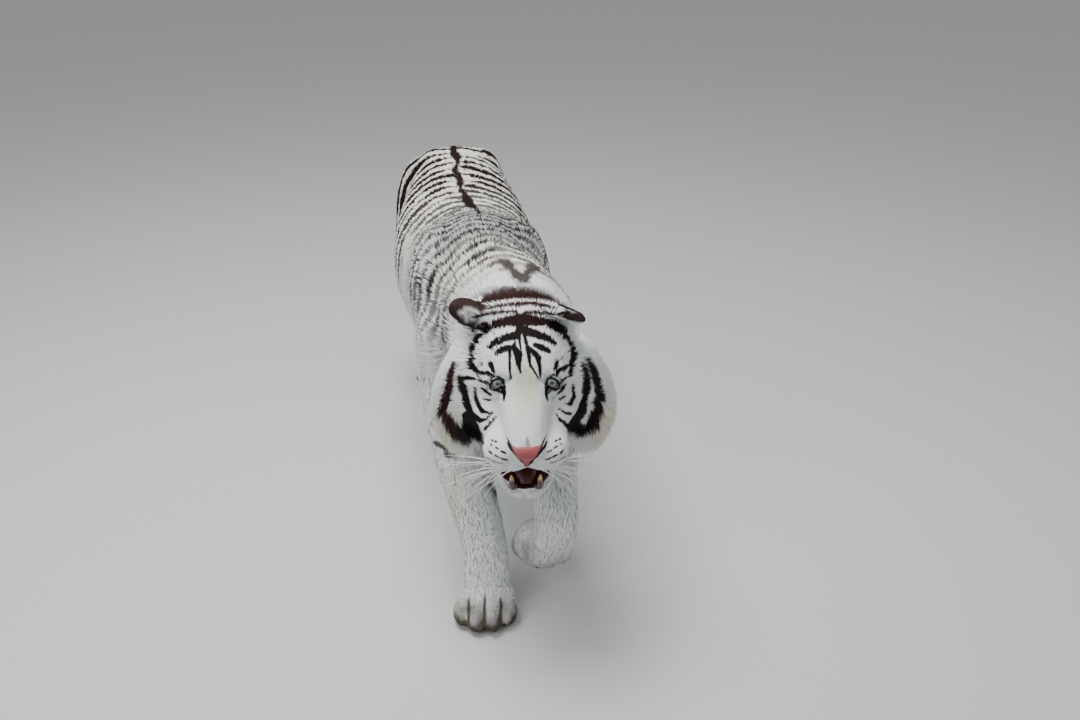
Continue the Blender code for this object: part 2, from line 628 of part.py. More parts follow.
def name_shells(shells):
    """Gives each shell the name of the seed that lies inside it."""
    trees = [BVHTree.FromBMesh(shell) for shell in shells]
    named = {}
    for name, frame, seed in SEEDS:
        point = frame @ Vector(seed)
        found = [shell for shell, tree in zip(shells, trees) if holds(shell, tree, point)]
        named[name] = min(found, key=lambda shell: shell.calc_volume())
    assert len({id(shell) for shell in named.values()}) == len(shells), "a piece is missing or stray"
    return named


def main():
    """Builds the animal, parts it, adds eyes, teeth and tongue, and centres the whole."""
    clear_scene()
    body = make_body()
    simplify(body, lambda points: ~near_head(points) & ~near_paws(points), BODY_FACES)
    simplify(body, lambda points: near_paws(points, 0.030), PAW_FACES)
    simplify(body, lambda points: near_head(points, 0.040), HEAD_FACES)
    part_body(body)
    pieces = name_shells(loose_parts(body))
    bpy.data.objects.remove(body)
    for side, word in ((-1, "right"), (1, "left")):
        pieces[f"eye_{word}"] = eye_mesh(side, 0.0)
    for tooth in TEETH:
        pieces[tooth.name] = tooth_mesh(tooth, 0.0)
    pieces["tongue"] = tongue_mesh(0.0)
    points = np.array([v.co for shell in pieces.values() for v in shell.verts])
    middle = (points.min(0) + points.max(0)) / 2
    shift = Vector((-middle[0], -middle[1], 0.0))
    for name, shell in pieces.items():
        bmesh.ops.translate(shell, verts=shell.verts, vec=shift)
        item = new_object(name, shell)
        item.data.polygons.foreach_set("use_smooth", [True] * len(item.data.polygons))
        item.data.materials.append(material_for(name))


main()
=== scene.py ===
"""The looks of the walking white tiger: one skin, its markings, coat, eyes, mouth and whiskers.

Lengths are in metres, and an angle written as a number of its own is in degrees. The
animal faces -Y, its left is +X, and the origin is on the floor under its middle.
"""

import logging
import math
from dataclasses import dataclass, replace
from enum import Enum

import bmesh
import bpy
import numpy as np
from mathutils import Matrix, Vector
from mathutils.bvhtree import BVHTree


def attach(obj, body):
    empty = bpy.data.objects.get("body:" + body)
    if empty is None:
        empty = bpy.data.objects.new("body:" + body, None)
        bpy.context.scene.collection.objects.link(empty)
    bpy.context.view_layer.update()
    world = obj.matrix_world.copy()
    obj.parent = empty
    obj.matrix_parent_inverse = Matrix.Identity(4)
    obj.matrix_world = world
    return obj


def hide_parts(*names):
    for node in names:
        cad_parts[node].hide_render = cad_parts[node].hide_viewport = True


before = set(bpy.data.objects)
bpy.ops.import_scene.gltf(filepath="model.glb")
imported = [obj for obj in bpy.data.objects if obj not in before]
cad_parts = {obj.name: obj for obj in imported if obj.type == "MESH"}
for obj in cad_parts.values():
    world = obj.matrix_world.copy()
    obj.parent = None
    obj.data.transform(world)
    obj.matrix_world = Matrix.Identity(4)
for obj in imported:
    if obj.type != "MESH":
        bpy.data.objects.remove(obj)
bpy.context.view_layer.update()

LOG = logging.getLogger("tiger")
WITHERS = np.array((-0.0346, -0.4665, 0.0))
HEAD_AT = (0.0094, -0.8930, 0.6620)
HEAD_YAW = math.radians(-7.0)
HEAD_PITCH = math.radians(14.0)
HEAD = (Matrix.Translation(HEAD_AT) @ Matrix.Rotation(HEAD_YAW, 4, "Z")
        @ Matrix.Rotation(HEAD_PITCH, 4, "X"))
INTO_FACE = HEAD.to_3x3() @ Vector((0.0, 1.0, 0.0))
GAZE = Vector((-0.03, -0.855, 0.515)).normalized()
# The sheet that the marks of the face are drawn on: its up and the way into it, the distance that
# it is seen from, its units to a metre and the height of its zero.
FACE_UP = np.array((0.0, 0.647, 0.762))
FACE_IN = np.array((0.033, 0.762, -0.647))
VIEW_RANGE = 2.35
FACE_SCALE = 1000.0
FACE_ZERO = 2.0
# Nothing behind this belongs to the head.
HEAD_BACK = -0.62
SEED = 20
FLESH = ("head", "jaw", "neck", "chest", "belly", "hindquarters", "ear_left", "ear_right",
         "fore_leg_left", "fore_leg_right", "fore_paw_left", "fore_paw_right",
         "hind_leg_left", "hind_leg_right", "hind_foot_left", "hind_foot_right",
         "tail_base", "tail_middle", "tail_tip")
CANINES = ("canine_upper_left", "canine_upper_right", "canine_lower_left", "canine_lower_right")


# --- numbers over many points -------------------------------------------------

def smooth(low: float, high: float, value: np.ndarray) -> np.ndarray:
    """A soft step: 0 below low, 1 above high."""
    t = np.clip((value - low) / (high - low), 0.0, 1.0)
    return t * t * (3.0 - 2.0 * t)


def smooth_one(low: float, high: float, value: float) -> float:
    """A soft step for one number."""
    t = min(1.0, max(0.0, (value - low) / (high - low)))
    return t * t * (3.0 - 2.0 * t)


def hashed(numbers: np.ndarray, salt: float) -> np.ndarray:
    """A fixed random value from 0 to 1 for each whole number."""
    return np.modf(np.abs(np.sin(numbers * 12.9898 + salt * 78.233)) * 43758.5453)[0]


def noise(points: np.ndarray, size: float, salt: float = 0.0) -> np.ndarray:
    """Smooth value noise.

    Args:
        points: Places, one row each.
        size: Width of one lump.
        salt: Another value gives another pattern.

    Returns:
        A value from -1 to 1 at each place.
    """
    scaled = points / size + salt
    cell = np.floor(scaled)
    part = scaled - cell
    part = part * part * (3.0 - 2.0 * part)
    total = np.zeros(len(points))
    for corner in range(8):
        bits = np.array((corner & 1, corner >> 1 & 1, corner >> 2 & 1), float)
        key = (cell + bits) @ np.array((1.0, 57.0, 113.0))
        weight = np.prod(np.where(bits > 0, part, 1.0 - part), axis=1)
        total += hashed(key, salt + 1.0) * weight
    return total * 2.0 - 1.0


def to_frame(matrix: Matrix, points: np.ndarray) -> np.ndarray:
    """Points of the row frame in the coordinates of a local frame."""
    inverse = np.array(matrix.inverted())
    return points @ inverse[:3, :3].T + inverse[:3, 3]


def unit(vectors: np.ndarray) -> np.ndarray:
    """Vectors scaled to length 1."""
    return vectors / np.maximum(np.linalg.norm(vectors, axis=1, keepdims=True), 1e-9)


def spread(values: np.ndarray, counted: np.ndarray) -> np.ndarray:
    """Values stretched from 0 to 1 over the range of the counted ones, but for a few far out."""
    low, high = np.quantile(values[counted], (0.002, 0.998)) if counted.any() else (0.0, 1.0)
    return np.clip((values - low) / max(high - low, 1e-6), 0.0, 1.0)


# --- how the coat lies ----------------------------------------------------------

@dataclass(frozen=True)
class Lie:
    """How the coat lies along one stretch of the body.

    start and end are in the withers' frame, or the head's for the head's own;
    the hair points from start to end.
    """

    start: tuple
    end: tuple
    reach: float
    depth: float
    length: float
    width: float
    density: float
    stand: float = 0.0
    on_head: bool = False

    def ends(self) -> tuple:
        """Both ends in the row frame.

        Returns:
            Where the stretch starts and where it ends.
        """
        if self.on_head:
            return tuple(np.array(HEAD @ Vector(p)) for p in (self.start, self.end))
        return tuple(np.array(p) + WITHERS for p in (self.start, self.end))


def mirrored(lie: Lie) -> tuple:
    """A stretch of the head's coat and the same one on the other side."""
    start, end = ((-x, y, z) for x, y, z in (lie.start, lie.end))
    return lie, replace(lie, start=start, end=end)


BODY = dict(depth=0.0095, length=0.026, width=0.0034, density=0.95)
LIMB = dict(depth=0.0065, length=0.019, width=0.0030, density=0.80)
PAW = dict(depth=0.0035, length=0.010, width=0.0024, density=0.85)
TAIL = dict(depth=0.0080, length=0.024, width=0.0032, density=0.95)

LIES = (
    Lie((0.0, 0.02, 0.66), (0.0, 0.98, 0.66), 0.20, **BODY),
    Lie((0.050, -0.28, 0.68), (0.0, 0.0, 0.68), 0.15, 0.014, 0.036, 0.0036, 0.95, 0.15),
    Lie((-0.112, 0.02, 0.64), (-0.094, -0.14, 0.42), 0.085, **LIMB),
    Lie((-0.094, -0.14, 0.42), (-0.041, -0.28, 0.175), 0.060, **LIMB),
    Lie((-0.041, -0.28, 0.175), (-0.041, -0.318, 0.07), 0.055, **LIMB),
    Lie((-0.041, -0.31, 0.07), (-0.048, -0.43, 0.01), 0.055, **PAW),
    Lie((0.122, 0.02, 0.64), (0.142, -0.125, 0.44), 0.085, **LIMB),
    Lie((0.142, -0.125, 0.44), (0.132, -0.325, 0.25), 0.060, **LIMB),
    Lie((0.132, -0.325, 0.25), (0.118, -0.320, 0.15), 0.052, **LIMB),
    Lie((0.118, -0.310, 0.15), (0.095, -0.235, 0.08), 0.060, **PAW),
    Lie((0.098, 0.80, 0.74), (0.130, 0.63, 0.485), 0.110, **BODY),
    Lie((0.130, 0.62, 0.485), (0.114, 0.72, 0.25), 0.055, **LIMB),
    Lie((0.114, 0.73, 0.23), (0.102, 0.63, 0.08), 0.042, **LIMB),
    Lie((0.102, 0.62, 0.06), (0.100, 0.47, 0.01), 0.050, **PAW),
    Lie((-0.098, 0.82, 0.74), (-0.128, 0.775, 0.455), 0.110, **BODY),
    Lie((-0.128, 0.775, 0.455), (-0.094, 1.0, 0.26), 0.055, **LIMB),
    Lie((-0.092, 1.015, 0.24), (-0.080, 0.98, 0.09), 0.042, **LIMB),
    Lie((-0.078, 0.98, 0.06), (-0.075, 0.83, 0.01), 0.050, **PAW),
    Lie((0.018, 1.00, 0.73), (0.018, 1.11, 0.60), 0.060, **TAIL),
    Lie((0.018, 1.11, 0.60), (0.018, 1.17, 0.42), 0.045, **TAIL),
    Lie((0.018, 1.17, 0.42), (0.023, 1.26, 0.25), 0.045, **TAIL),
    Lie((0.023, 1.26, 0.25), (0.031, 1.375, 0.205), 0.045, **TAIL),
    Lie((0.031, 1.375, 0.205), (0.038, 1.49, 0.29), 0.045, **TAIL),
    # The head, in its own frame.
    Lie((0, -0.150, -0.080), (0, -0.020, -0.010), 0.050, 0.0016, 0.0075, 0.0016, 1.6, 0.0, True),
    Lie((0, -0.020, 0.020), (0, 0.110, 0.085), 0.080, 0.0038, 0.012, 0.0021, 2.0, 0.0, True),
    Lie((0, 0.110, 0.085), (0, 0.260, 0.090), 0.090, 0.0090, 0.024, 0.0028, 1.4, 0.05, True),
    *mirrored(Lie((-0.030, -0.130, -0.105), (-0.082, -0.020, -0.112), 0.045, 0.0020, 0.009, 0.0017, 1.6,
                  0.0, True)),
    *mirrored(Lie((-0.075, -0.010, -0.050), (-0.125, 0.090, -0.040), 0.055, 0.0050, 0.016, 0.0022, 1.9,
                  0.05, True)),
    *mirrored(Lie((-0.105, 0.060, -0.030), (-0.172, 0.130, -0.130), 0.070, 0.0110, 0.034, 0.0027, 3.4,
                  0.20, True)),
    *mirrored(Lie((-0.155, 0.090, -0.130), (-0.120, 0.110, -0.285), 0.065, 0.0140, 0.046, 0.0029, 3.8,
                  0.28, True)),
    Lie((0, -0.110, -0.235), (0, 0.030, -0.260), 0.060, 0.0050, 0.021, 0.0021, 2.4, 0.34, True),
    Lie((-0.085, 0.125, 0.085), (-0.155, 0.157, 0.113), 0.034, 0.0020, 0.011, 0.0020, 1.6, 0.05, True),
    Lie((0.070, 0.118, 0.100), (0.152, 0.134, 0.064), 0.034, 0.0020, 0.011, 0.0020, 1.6, 0.05, True),
)


TRUNK_HALF = 0.2
FLANK_DROOP = 0.55


@dataclass
class Coat:
    """The blended lie of the coat at many places."""

    along: np.ndarray
    depth: np.ndarray
    length: np.ndarray
    width: np.ndarray
    density: np.ndarray
    stand: np.ndarray


def coat_at(points: np.ndarray) -> Coat:
    """Blends the stretches' values at each place, the nearest counting most.

    Args:
        points: Places in the row frame, one row each.

    Returns:
        The coat's direction and sizes at each place.
    """
    total = np.zeros(len(points))
    along = np.zeros((len(points), 3))
    sums = np.zeros((5, len(points)))
    for lie in LIES:
        start, end = lie.ends()
        span = end - start
        t = np.clip((points - start) @ span / (span @ span), 0.0, 1.0)
        far = np.linalg.norm(points - start - t[:, None] * span, axis=1) / lie.reach
        weight = 1.0 / (far ** 5 + 0.02)
        total += weight
        along += weight[:, None] * span / np.linalg.norm(span)
        for row, value in zip(sums, (lie.depth, lie.length, lie.width, lie.density, lie.stand)):
            row += weight * value
    outwards_share = smooth(0.3, 1.0, np.abs(points[:, 0] - WITHERS[0]) / TRUNK_HALF)
    flank = outwards_share * smooth(-0.62, -0.45, points[:, 1]) * smooth(0.40, 0.50, points[:, 2])
    along = unit(along)
    along[:, 2] -= FLANK_DROOP * flank
    return Coat(unit(along), *(row / total for row in sums))


def paw_frame(place: tuple, yaw: float, pitch: float = 0.0, roll: float = 0.0) -> Matrix:
    """A paw's own frame: X to the left, Y backwards, Z from its sole up.

    Args:
        place: The middle of the sole, from the withers.
        yaw: Turn about the upright, to the left.
        pitch: Turn about the paw's own X.
        roll: Turn about the paw's own Y.

    Returns:
        The frame's matrix.
    """
    turn = (Matrix.Rotation(math.radians(yaw), 4, "Z") @ Matrix.Rotation(math.radians(pitch), 4, "X")
            @ Matrix.Rotation(math.radians(roll), 4, "Y"))
    return Matrix.Translation(Vector(place) + Vector(WITHERS)) @ turn


PAWS = (paw_frame((-0.044, -0.345, 0.0), -9), paw_frame((0.115, -0.250, 0.157), -12, 108, -10),
        paw_frame((0.100, 0.560, 0.0), -3), paw_frame((-0.075, 0.925, 0.0), -3))
TOE_GAPS = (-0.038, 0.0, 0.038)


# --- markings ---------------------------------------------------------------------

@dataclass(frozen=True)
class Stroke:
    """A dark mark on the face: points (across, up) and widths, in millimetres.

    Across runs to the animal's left and up runs over the brow, from midway
    between the eyes, both square to a line that rises steeply from the muzzle.
    """

    path: tuple
    widths: tuple
    both: bool = False
    strength: float = 1.0


def mark(*path: tuple, both: bool = False, strength: float = 1.0) -> Stroke:
    """A stroke from (across, up, width) triples."""
    return Stroke(tuple((p[0], p[1]) for p in path), tuple(p[2] for p in path), both, strength)


STROKES = (
    # Brown bands over the back of the crown.
    mark((-150, 176, 12), (-128, 188, 16), (-92, 198, 18), (-50, 201, 17), (-10, 200, 17), (34, 200, 17),
         (66, 194, 12), strength=0.985),
    mark((-98, 174, 6), (-80, 182, 13), (-52, 187, 15), (-14, 190, 13), (24, 190, 16), (54, 186, 15),
         (76, 176, 8)),
    mark((78, 172, 12), (96, 164, 14), (120, 153, 9)),
    mark((-86, 160, 2), (-62, 167, 8), (-42, 171, 9), (-15, 172, 9), (24, 172, 9), (44, 168, 8),
         (74, 161, 2)),
    mark((-112, 143, 4), (-82, 150, 8), (-44, 155, 8), (-16, 156, 6)),
    mark((0, 154, 6), (30, 153, 8), (64, 149, 8), (100, 151, 5)),
    mark((98, 151, 6), (88, 143, 4)),
    # The heavy arch over the brow.
    mark((-115, 52, 10), (-115, 75, 11), (-105, 99, 12), (-88, 115, 15), (-70, 127, 17), (-52, 133, 20),
         (-30, 137, 24), (-5, 139, 27), (24, 136, 23), (42, 133, 18)),
    mark((46, 134, 12), (68, 124, 23), (86, 114, 18)),
    mark((90, 104, 10), (104, 82, 11), (110, 60, 16), (104, 40, 13), (102, 18, 9)),
    mark((-118, 106, 5), (-108, 118, 8), (-88, 129, 8), (-76, 133, 4)),
    mark((-118, 50, 14), (-116, 40, 17), (-106, 30, 12), (-101, 18, 4)),
    # Bars of the brow.
    mark((-76, 82, 10.8), (-58, 94, 15.6), (-38, 101, 16.8), (-16, 105, 19.2), (-12, 112, 16.8)),
    mark((4, 114, 24), (20, 109, 18), (38, 102, 16.8), (54, 97, 15.6), (66, 88, 10.8)),
    mark((-62, 67, 8.4), (-50, 75, 14.4), (-32, 79, 12)),
    mark((24, 84, 10.8), (38, 78, 15.6), (54, 70, 9.6)),
    # Lines down the middle of the brow.
    mark((-10, 128, 21.6), (-8, 112, 9.6)),
    mark((-10, 118, 8.4), (-9, 85, 6), (-6, 62, 3.6)),
    mark((-2, 116, 7.2), (3, 92, 7.2), (8, 66, 7.2), (11, 38, 3.6)),
    mark((-19, 91, 4.8), (-32, 72, 6), (-33, 40, 6), (-31, 14, 3.6)),
    mark((-22, 80, 12), (-13, 64, 19.2), (-13, 44, 10.8), (-9, 26, 3.6)),
    mark((8, 78, 9.6), (20, 68, 12), (29, 58, 14.4), (32, 38, 7.2), (33, 14, 3.6)),
    mark((10, 64, 6), (12, 42, 6), (21, 26, 4.8), (28, 14, 3.6)),
    # Over and beside the eyes.
    mark((-74, 46, 12), (-70, 36, 10.8), (-66, 26, 4.8)),
    mark((-96, 26, 9.6), (-80, 26, 9.6), (-62, 18, 3.6)),
    mark((70, 50, 8.4), (68, 40, 9.6), (63, 32, 4.8)),
    mark((92, 35, 10.8), (74, 29, 9.6), (58, 16, 3.6)),
    mark((-94, 45, 6), (-93, 44, 6)),
    mark((83, 56, 4.8), (83, 55, 4.8)),
    mark((-102, 11, 4.8), (-88, 6, 6), (-72, 9, 4.8)),
    mark((98, 14, 4.8), (86, 9, 4.8), (76, 8, 3.6)),
    # Cheeks.
    mark((-140, 13, 12), (-134, -8, 17), (-128, -34, 18), (-120, -62, 18), (-104, -74, 14)),
    mark((-138, 12, 9), (-120, 13, 9), (-106, 11, 5)),
    mark((-150, 44, 9), (-158, 20, 17), (-164, -10, 21), (-172, -44, 20), (-182, -72, 15)),
    mark((-108, -8, 5), (-105, -34, 9), (-94, -58, 9), (-76, -62, 4)),
    mark((-94, -8, 5), (-84, -16, 7), (-74, -24, 3)),
    mark((-90, -31, 3), (-76, -34, 5)),
    mark((-116, -62, 9), (-98, -78, 10), (-84, -74, 5), (-72, -60, 3)),
    mark((-64, -68, 3), (-78, -84, 6), (-88, -96, 5)),
    mark((-124, -70, 24), (-118, -92, 34), (-104, -112, 26), (-96, -124, 14)),
    mark((-176, -62, 18), (-160, -88, 26), (-144, -112, 30), (-122, -124, 22), strength=0.985),
    mark((128, 40, 7), (134, 14, 15), (136, -12, 18), (130, -44, 17), (118, -72, 18)),
    mark((138, 50, 8), (150, 22, 18), (160, -6, 20), (164, -34, 22), (158, -66, 24), (144, -90, 24)),
    mark((124, -66, 24), (110, -84, 26), (98, -96, 18)),
    mark((100, -104, 20), (122, -108, 26), (150, -100, 24)),
    mark((105, -4, 5), (107, -28, 9), (99, -46, 8), (88, -44, 3)),
    mark((92, 0, 4), (82, -14, 7), (70, -24, 3)),
    mark((88, -28, 4), (76, -34, 4)),
    mark((66, -64, 3), (78, -80, 7), (92, -92, 8)),
    mark((72, -54, 3), (88, -64, 7), (98, -66, 7)),
    # Above the nose.
    mark((2, -114, 5), (3, -122, 8), (4, -130, 10), strength=0.55),
    # Tear marks and the dark edges of the lids.
    mark((-51, -5, 6), (-47, -14, 7.5), (-45, -23, 6.5), (-48, -35, 3), both=True),
    mark((-82, 7, 3), (-74, -4, 3.5), (-64, -12, 4), (-54, -15, 5), (-46, -20, 5), both=True),
    mark((-84, 9, 4), (-74, 14, 5), (-60, 18, 5), (-49, 11, 5), (-44, -4, 5), (-44, -18, 4), both=True),
    # Black edges of the nose leather.
    mark((-39, -125, 3.5), (-35, -134, 5), (-28, -143, 5), (-15, -160, 5), (-1, -171, 5)),
    mark((44, -124, 3.5), (39, -134, 5), (31, -143, 5), (17, -160, 5), (5, -171, 5)),
    # Whisker spots.
    mark((-74, -118, 3.6), (-72, -120, 3.6), both=True),
    mark((-66, -121, 3.4), (-64, -122, 3.4), both=True),
    mark((-76, -128, 3.2), (-74, -130, 3.2), both=True),
    mark((-66, -134, 3.2), (-60, -137, 3.2), both=True),
    mark((-54, -142, 3.0), (-46, -146, 3.0), both=True),
    mark((-80, -142, 3.0), (-74, -148, 3.0), both=True),
    mark((-68, -151, 3.0), (-58, -156, 3.2), both=True),
    mark((-54, -158, 3.2), (-42, -162, 3.0), both=True),
    mark((-84, -156, 2.6), (-70, -165, 2.6), (-52, -170, 2.4), both=True, strength=0.6),
)

# The mouth's hollow: distance ahead of the eyes, height of its middle, half width, half height.
MOUTH_AHEAD = (-0.042, -0.018, 0.020, 0.060, 0.100, 0.150)
MOUTH_MIDDLE = (-0.136, -0.140, -0.149, -0.160, -0.171, -0.178)
MOUTH_WIDE = (0.018, 0.030, 0.040, 0.045, 0.047, 0.047)
MOUTH_TALL = (0.005, 0.013, 0.023, 0.034, 0.043, 0.050)

# The open mouth's upper and lower edges seen from the front: across, then up.
GAPE_TOP = ((-58, -54, -32, 3, 37, 50, 54), (-196, -189, -190, -178, -188, -189, -196))
GAPE_FOOT = ((-58, -52, -32, 5, 37, 48, 54), (-190, -200, -215, -224, -215, -199, -190))

# Each ear: base, tip, middle of its pale patch, and where its back faces.
EAR_MARKS = (((-0.100, 0.126, 0.085), (-0.160, 0.150, 0.106), (-0.118, 0.118, 0.103), (-0.10, -0.50, 0.86)),
             ((0.086, 0.118, 0.098), (0.136, 0.130, 0.076), (0.100, 0.128, 0.108), (0.40, 0.38, 0.83)))

TAIL_LINE = ((0.018, 1.00, 0.73), (0.018, 1.085, 0.650), (0.018, 1.135, 0.545), (0.018, 1.170, 0.425),
             (0.020, 1.215, 0.312), (0.025, 1.290, 0.228), (0.031, 1.375, 0.205), (0.036, 1.445, 0.238),
             (0.038, 1.482, 0.280))
TAIL_MIDDLE = np.array(TAIL_LINE) + WITHERS

# The few dark spots of the forelegs: middle and half sizes, from the withers.
LEG_SPOTS = (((-0.026, -0.262, 0.292), (0.022, 0.050, 0.014)),
             ((-0.008, -0.268, 0.266), (0.022, 0.050, 0.012)),
             ((-0.010, -0.285, 0.232), (0.015, 0.050, 0.011)),
             ((-0.128, -0.205, 0.396), (0.024, 0.050, 0.009)),
             ((-0.106, -0.205, 0.378), (0.022, 0.050, 0.008)),
             ((0.105, -0.200, 0.330), (0.020, 0.050, 0.008)),
             ((-0.105, -0.090, 0.420), (0.022, 0.040, 0.007)),
             ((0.080, -0.340, 0.222), (0.018, 0.050, 0.0045)))


@dataclass(frozen=True)
class Markings:
    """The coat's colours as masks over any points of the body.

    Widths of stripes, bars and rings are shares of their pitch. Round the
    trunk, 0 is the middle of the back and 1 the middle of the belly.
    """

    axle: float = 0.62
    stripe_pitch: float = 0.0540
    haunch_pitch: float = 0.050
    stripe_width: float = 0.225
    width_spread: float = 0.10
    haunch_width: float = 0.20
    widest: float = 0.32
    fork: float = 0.21
    spine_half: float = 0.010
    bar_pitch: float = 0.029
    bar_width: float = 0.26
    smoke: float = 0.50
    vee_middle: float = 0.068
    vee_foot: float = -0.250
    vee_arm: float = 0.013
    ring_pitch: float = 0.072
    ring_width: float = 0.17
    tail_tip: float = 0.070
    ear_reach: float = 0.044
    ear_dark: float = 0.985

    def face_plane(self, points: np.ndarray) -> tuple:
        """Places on the face as millimetres across and up, with the head's own coordinates.

        Args:
            points: Places in the row frame, one row each.

        Returns:
            Across, up, and the places in the head's own frame.
        """
        local = to_frame(HEAD, points)
        nearer = VIEW_RANGE / (VIEW_RANGE + local @ FACE_IN)
        up = (local @ FACE_UP) * nearer * FACE_SCALE - FACE_ZERO
        return local[:, 0] * nearer * FACE_SCALE, up, local

    def head_mask(self, local: np.ndarray) -> np.ndarray:
        """How far a place belongs to the head rather than the neck."""
        return 1.0 - smooth(0.150, 0.185, local[:, 1] - 0.25 * local[:, 2])

    def strokes(self, points: np.ndarray) -> np.ndarray:
        """Darkness of the drawn marks of the face.

        Args:
            points: Places in the row frame, one row each.

        Returns:
            A value from 0 to 1 at each place.
        """
        across, up, local = self.face_plane(points)
        wobble = noise(points, 0.009, 3.0)
        wobble += 3.0 * noise(points, 0.016, 27.0) * smooth(105, 130, np.abs(across)) * smooth(10, -40, up)
        dark = np.zeros(len(points))
        for stroke in STROKES:
            for side in ((1, -1) if stroke.both else (1,)):
                path = np.array(stroke.path, float) * (side, 1)
                widths = np.array(stroke.widths, float) / 2.0
                near = np.full(len(points), 1e9)
                for first, second, w0, w1 in zip(path, path[1:], widths, widths[1:]):
                    span = second - first
                    dx, dy = across - first[0], up - first[1]
                    t = np.clip((dx * span[0] + dy * span[1]) / (span @ span), 0.0, 1.0)
                    gone = np.hypot(dx - t * span[0], dy - t * span[1])
                    near = np.minimum(near, gone - (w0 + (w1 - w0) * t))
                dark = np.maximum(dark, stroke.strength * smooth(1.4, -0.6, near + wobble))
        return dark * self.head_mask(local)

    def flanks(self, points: np.ndarray) -> np.ndarray:
        """Darkness of the stripes of trunk and thighs.

        Args:
            points: Places in the row frame, one row each.

        Returns:
            A value from 0 to 1 at each place.
        """
        place = points - WITHERS
        x = place[:, 0] - self.sway(place[:, 1])
        y, z = place[:, 1], place[:, 2]
        around = np.abs(np.arctan2(x, z - self.axle)) / math.pi
        side = np.sign(x)
        low = smooth(0.62, 0.40, z) * smooth(0.56, 0.70, y)
        warp = 0.34 * noise(points, 0.13, 1.0) + 0.12 * noise(points, 0.040, 2.0)
        lean = -0.55 * smooth(0.06, 0.60, around) + 0.30 * side * smooth(0.02, 0.10, around)
        phase = y / self.stripe_pitch * (1 - low) + (z / self.haunch_pitch + 8.0) * low + warp + lean
        number = np.floor(phase)
        part = phase - number
        key = number + 40.0 * side
        fork = self.fork * hashed(key, 5.0) * smooth(0.04 + 0.25 * hashed(key, 6.0), 0.50, around)
        gone = np.abs(np.abs(part - 0.5) - fork)
        start = 0.10 * hashed(key, 7.0) - 0.06
        end = 0.55 + 0.40 * hashed(key, 8.0)
        width = self.stripe_width + self.width_spread * hashed(key, 9.0)
        width *= smooth(start, start + 0.08, around)
        width *= 1.0 - 0.9 * smooth(end - 0.25, end, around)
        width *= (1.0 - 0.3 * fork / 0.2) * (1.0 + 0.30 * smooth(0.40, 0.20, around))
        uneven = 0.75 + 0.55 * noise(points, 0.05, 4.0)
        width = np.minimum(np.maximum(width, self.haunch_width * low) * uneven, self.widest)
        dark = smooth(0.030, -0.022, gone - width)
        dark *= 1.0 - smooth(0.80, 0.95, around) * (1 - low)
        front = 0.26 - 0.30 * (z - 0.62) * (z < 0.70)
        shoulder = smooth(front, front + 0.07, y)
        dark *= 1.0 - 0.12 * smooth(0.45, 0.25, y)
        return dark * np.maximum(shoulder, smooth(0.33, 0.20, around) * smooth(0.06, 0.16, y))

    def sway(self, along: np.ndarray) -> np.ndarray:
        """How far the spine bends to the left at a distance behind the withers."""
        return 0.018 * smooth(0.45, 0.85, along) + 0.010 * smooth(0.30, 0.05, along)

    def spine(self, points: np.ndarray) -> np.ndarray:
        """Darkness of the broken line along the back.

        Args:
            points: Places in the row frame, one row each.

        Returns:
            A value from 0 to 1 at each place.
        """
        place = points - WITHERS
        y, z = place[:, 1], place[:, 2]
        only_y = points * (0, 1, 0)
        x = place[:, 0] - self.sway(y) + 0.010 - 0.006 * noise(only_y, 0.09, 6.0)
        half = self.spine_half + 0.006 * noise(only_y, 0.035, 7.0) + 0.003 * noise(only_y, 0.11, 17.0)
        half *= 0.55 + 0.45 * smooth(0.10, 0.20, y)
        line = smooth(0.005, -0.003, np.abs(x) - half + 0.003 * noise(points, 0.012, 18.0))
        return line * smooth(0.02, 0.07, y) * smooth(0.72, 0.78, z) * smooth(1.06, 1.0, y)

    def nape(self, points: np.ndarray) -> np.ndarray:
        """Darkness of the smoky bars over the withers and the V on the nape.

        Args:
            points: Places in the row frame, one row each.

        Returns:
            A value from 0 to 1 at each place.
        """
        place = points - WITHERS
        x, y, z = place[:, 0] - self.sway(place[:, 1]), place[:, 1], place[:, 2]
        around = np.abs(np.arctan2(x, z - self.axle)) / math.pi
        warp = 0.36 * noise(points, 0.08, 8.0) + 0.15 * noise(points, 0.03, 19.0)
        part = np.modf(np.abs(y / self.bar_pitch + 1.2 * around + warp + 50.0))[0]
        off = np.abs(part - 0.5) - self.bar_width
        bars = smooth(0.14, -0.10, off - 0.12 * noise(points, 0.03, 9.0))
        smoke = self.smoke * smooth(0.28, 0.10, around) * smooth(-0.13, -0.04, y) * smooth(0.17, 0.08, y)
        reach = smooth(0.54, 0.34, around) * smooth(-0.24, -0.19, y) * smooth(0.22, 0.14, y)
        reach *= 1.0 - 0.45 * smooth(-0.12, -0.20, y) * smooth(-0.3, 0.5, noise(points, 0.028, 25.0))
        broken = 0.88 + 0.30 * noise(points, 0.045, 10.0)
        bars = np.maximum(bars * broken * reach, smoke + 0.45 * bars * reach)
        lean = 0.62 * (y - self.vee_foot)
        arms = np.abs(np.abs(place[:, 0] - self.vee_middle) - np.clip(lean, 0, None) * 0.75)
        vee = smooth(0.008, -0.004, arms - self.vee_arm + 0.009 * noise(points, 0.011, 20.0))
        vee *= smooth(-0.275, -0.255, y) * smooth(-0.150, -0.175, y) * smooth(0.74, 0.79, z)
        return np.clip(np.maximum(bars, 0.93 * vee), 0, 0.97)

